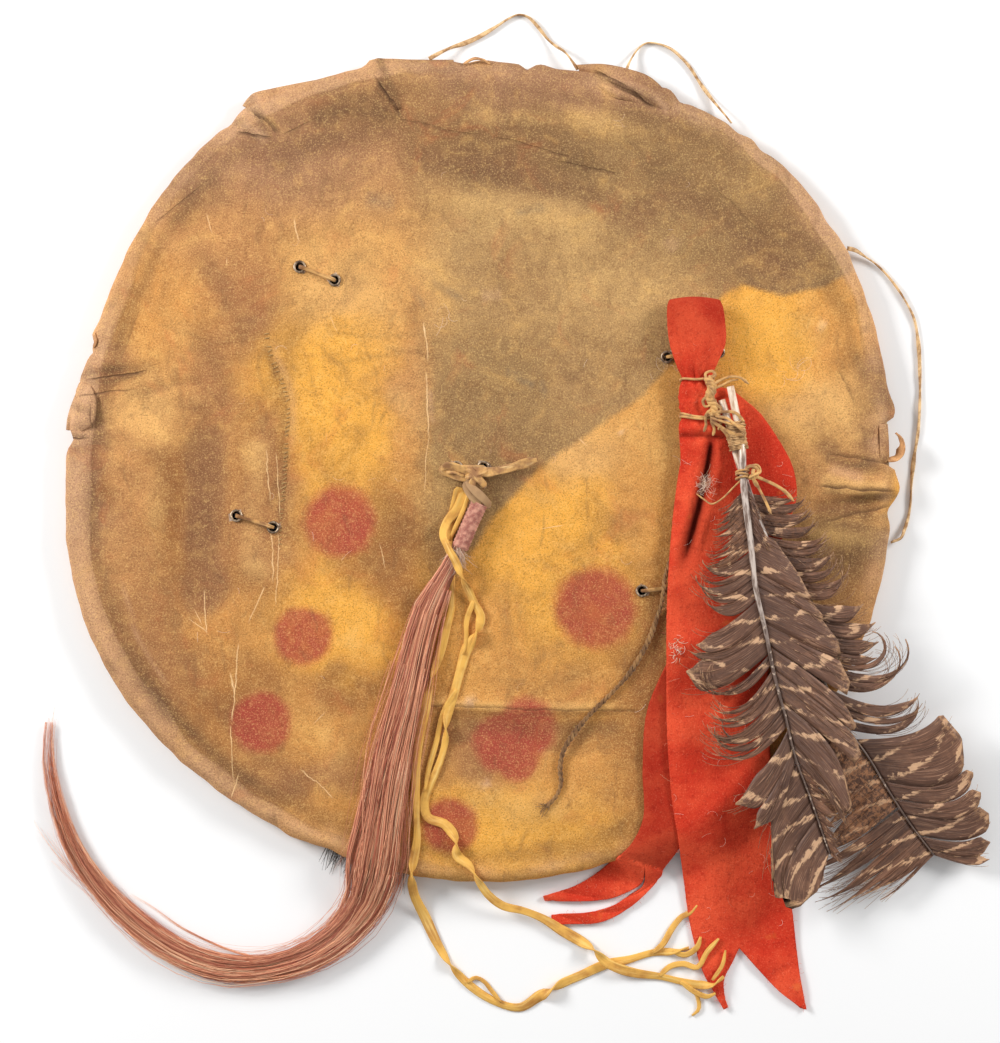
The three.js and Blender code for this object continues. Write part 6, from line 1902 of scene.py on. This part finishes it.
feather_brown = Finish("feather_brown", Roughness=0.46, Specular_IOR_Level=0.45)
feather_here = feather_brown.place()
barb_lines = feather_brown.grain(feather_brown.stretched(feather_brown.run(), (1.7, 0.045, 1)), 1, 3, 0.7)
barb_bands = feather_brown.grain(feather_brown.stretched(feather_brown.run(), (0.34, 0.03, 1)), 1, 2, 0.5)
patchy = feather_brown.grain(feather_here, 64, 4, 0.65, 0.6)
fleck = feather_brown.grain(feather_here, 420, 3, 0.6)
curdled = feather_brown.grain(feather_here, 420, 4, 0.75, 0.9)
band = feather_brown.maths("SINE", feather_brown.spot("bar") * 46 + 4 * (patchy - 0.5)
                           + 2.4 * (barb_bands - 0.5))
bar_share = feather_brown.step(band + 1.0 * (barb_lines - 0.5) + 1.5 * (patchy - 0.53)
                               + 0.5 * (fleck - 0.5), 0.8, 1.0)
brown = feather_brown.mix(feather_brown.spot("tone"), pigment(76, 48, 36), pigment(142, 98, 74))
# dark and pale streaks along the barbs; the pale streaks are partly the barbs' own colour, partly painted
# highlight
brown = feather_brown.coats(brown, [
    (barb_lines, 0.4, 0.62, 0.6, pigment(66, 45, 36)),
    (barb_lines, 0.46, 0.32, 0.6, pigment(190, 148, 118)),
    (patchy, 0.5, 0.72, 0.35, pigment(160, 114, 86)),
])
brown = feather_brown.mix(feather_brown.step(feather_brown.spot("shade"), 0.6, 0.0) * 0.4, brown,
                          pigment(60, 40, 32))
brown = feather_brown.mix(bar_share * 0.74, brown, pigment(232, 186, 144))
speckled = feather_brown.step(curdled, 0.47, 0.56)
brown = feather_brown.mix(feather_brown.clamped(feather_brown.spot("down") * speckled) * 0.62, brown,
                          pigment(176, 120, 78))
dusky = feather_brown.clamped(feather_brown.spot("down") - 0.5) * feather_brown.step(curdled, 0.5, 0.42)
brown = feather_brown.mix(dusky * 1.2, brown, pigment(78, 48, 30))
worn_tip = feather_brown.step(feather_brown.spot("shade") + 0.5 * (fleck - 0.5), 0.84, 1.02)
brown = feather_brown.mix(worn_tip * 0.7, brown, pigment(196, 150, 108))
feather_brown.surface(Base_Color=brown, Normal=feather_brown.bump(barb_lines + 0.4 * fleck, 0.0005, 0.9))


def quill_finish(name, pale_until):
    """Pale horn at the bare top, darkening down the vane, with pale flecks on the dark part that are partly
    its pale edges and partly painted highlight.
    """
    finish = Finish(name, Roughness=0.3)
    along = finish.axis(finish.run(), 1)
    streak = finish.grain(finish.stretched(finish.run(), (5, 0.7, 1)), 1, 4, 0.6)
    flecks = finish.grain(finish.place(), 330, 3, 0.6)
    bone = finish.mix(finish.step(streak, 0.4, 0.62), pigment(240, 222, 200), pigment(196, 160, 130))
    horn = finish.mix(finish.step(streak, 0.42, 0.6), pigment(206, 190, 178), pigment(122, 100, 88))
    horn = finish.mix(finish.step(along + (streak - 0.5), 3.4, 4.8), bone, horn)
    dark = finish.mix(finish.step(streak, 0.4, 0.68), pigment(112, 92, 82), pigment(70, 54, 46))
    # pale flecks on the dark part: partly the quill's pale edges, partly painted highlight
    dark = finish.mix(finish.step(flecks, 0.56, 0.66) * 0.8, dark, pigment(206, 184, 164))
    colour = finish.mix(finish.step(along + 3 * (streak - 0.5), pale_until - 2.5, pale_until + 2.5),
                        horn, dark)
    return finish.surface(Base_Color=colour, Normal=finish.bump(streak, 0.0003, 0.7))


feather("short_feather", SHORT_QUILL, SHORT_WEBS, quill_finish("short_quill_horn", 11), "short_feather", 12)
feather("long_feather", LONG_QUILL, LONG_WEBS, quill_finish("long_quill_horn", 14), "long_feather", 4)

# ---- Quill binding and knot ----
# Sinew-brown thread is wound round both quills, and below it a thong is knotted round them, one end free.
middle = [((x + sx) / 2, y, NECK_LEVEL + (level + s_level) / 2)
          for (x, y, level), (sx, _, s_level) in zip(LONG_QUILL[1:4], SHORT_QUILL[1:4])]
bind_line = smooth_path([(middle[1][0] - 1.0, 31.5, middle[1][2] - 0.4), middle[1],
                         (middle[1][0] + 1.8, 12.5, middle[1][2] + 0.3)], 0.5)
bind_side, bind_up = directions(bind_line, True)
winding = Shape()
whipped(winding, bind_line, bind_side, bind_up, 0.8, 17.5, 5.3, 4.0, 1.0, 0.95)
whipped(winding, bind_line, bind_side, bind_up, 1.5, 11, 5.7, 4.4, 1.1, 2.9)
wound = Finish("wound_thread", Roughness=0.75)
wound_tone = wound.grain(wound.place(), 240, 3, 0.6)
wound.surface(Base_Color=wound.mix(wound.step(wound_tone, 0.36, 0.64), pigment(206, 164, 112),
                                   pigment(134, 96, 58)),
              Normal=wound.bump(wound.grain(wound.stretched(wound.run(), (4, 10, 1)), 1, 3), 0.0003, 0.8))
piece_from(winding, "quill_winding", wound, "thong_hide", "quill_binding")

knot = Shape()
level_of_long = NECK_LEVEL + 16
for drop, height, lean in ((1.2, 0.0, 0.3), (-0.8, 0.2, -0.4), (-2.6, -0.1, 0.5)):
    turn = np.linspace(0, 2 * np.pi, 44)
    ring = np.column_stack([156.4 + 3.7 * np.cos(turn), drop + 0.9 * np.sin(turn + lean),
                            level_of_long - 2.7 + height + 5.6 * np.sin(turn)])
    knot.sweep(ring, oval_section(1.7, 1.4, 8, 0.9))
KNOT_STRIPS = [
    ([(157, 2, 16.6), (161, 4.4, 18.4), (165, 2.6, 18), (164, -2, 17.6), (160, -3.2, 17.4)], 2.2),
    ([(159, -2.6, 17), (163, -0.6, 19.4), (166.4, 1, 17.6), (165, 4.6, 16.6), (160.6, 4.4, 16.4)], 2.2),
    ([(163, 3.6, 16.6), (162, 0, 19.2), (163, -4.6, 17.2), (165, -8, 15.8)], 2.3),
    ([(162, -1, 17.6), (168, -3.4, 16), (176, -7, 14.6), (182, -11, 13.8), (187, -16.5, 13)], 2.0),
    ([(156, -3, 17.6), (151, -8, 14.6), (144, -15, 12.6), (138, -18, 12), (133, -15, 12),
      (129, -12, 11.6)], 0.9),
    ([(163, -3, 16), (166, -9, 15.4), (170, -17, 16.2), (173, -24, 17.4)], 1.8),
]
for number, (route, width) in enumerate(KNOT_STRIPS):
    route = [(x, y, NECK_LEVEL + level) for x, y, level in route]
    flat_strip(knot, route, width, min(1.2, width), lean=0.5 * math.sin(2 * number), step=0.7, high=True)
piece_from(knot, "quill_thong_knot", soft_thong, "thong_hide", "quill_knot")
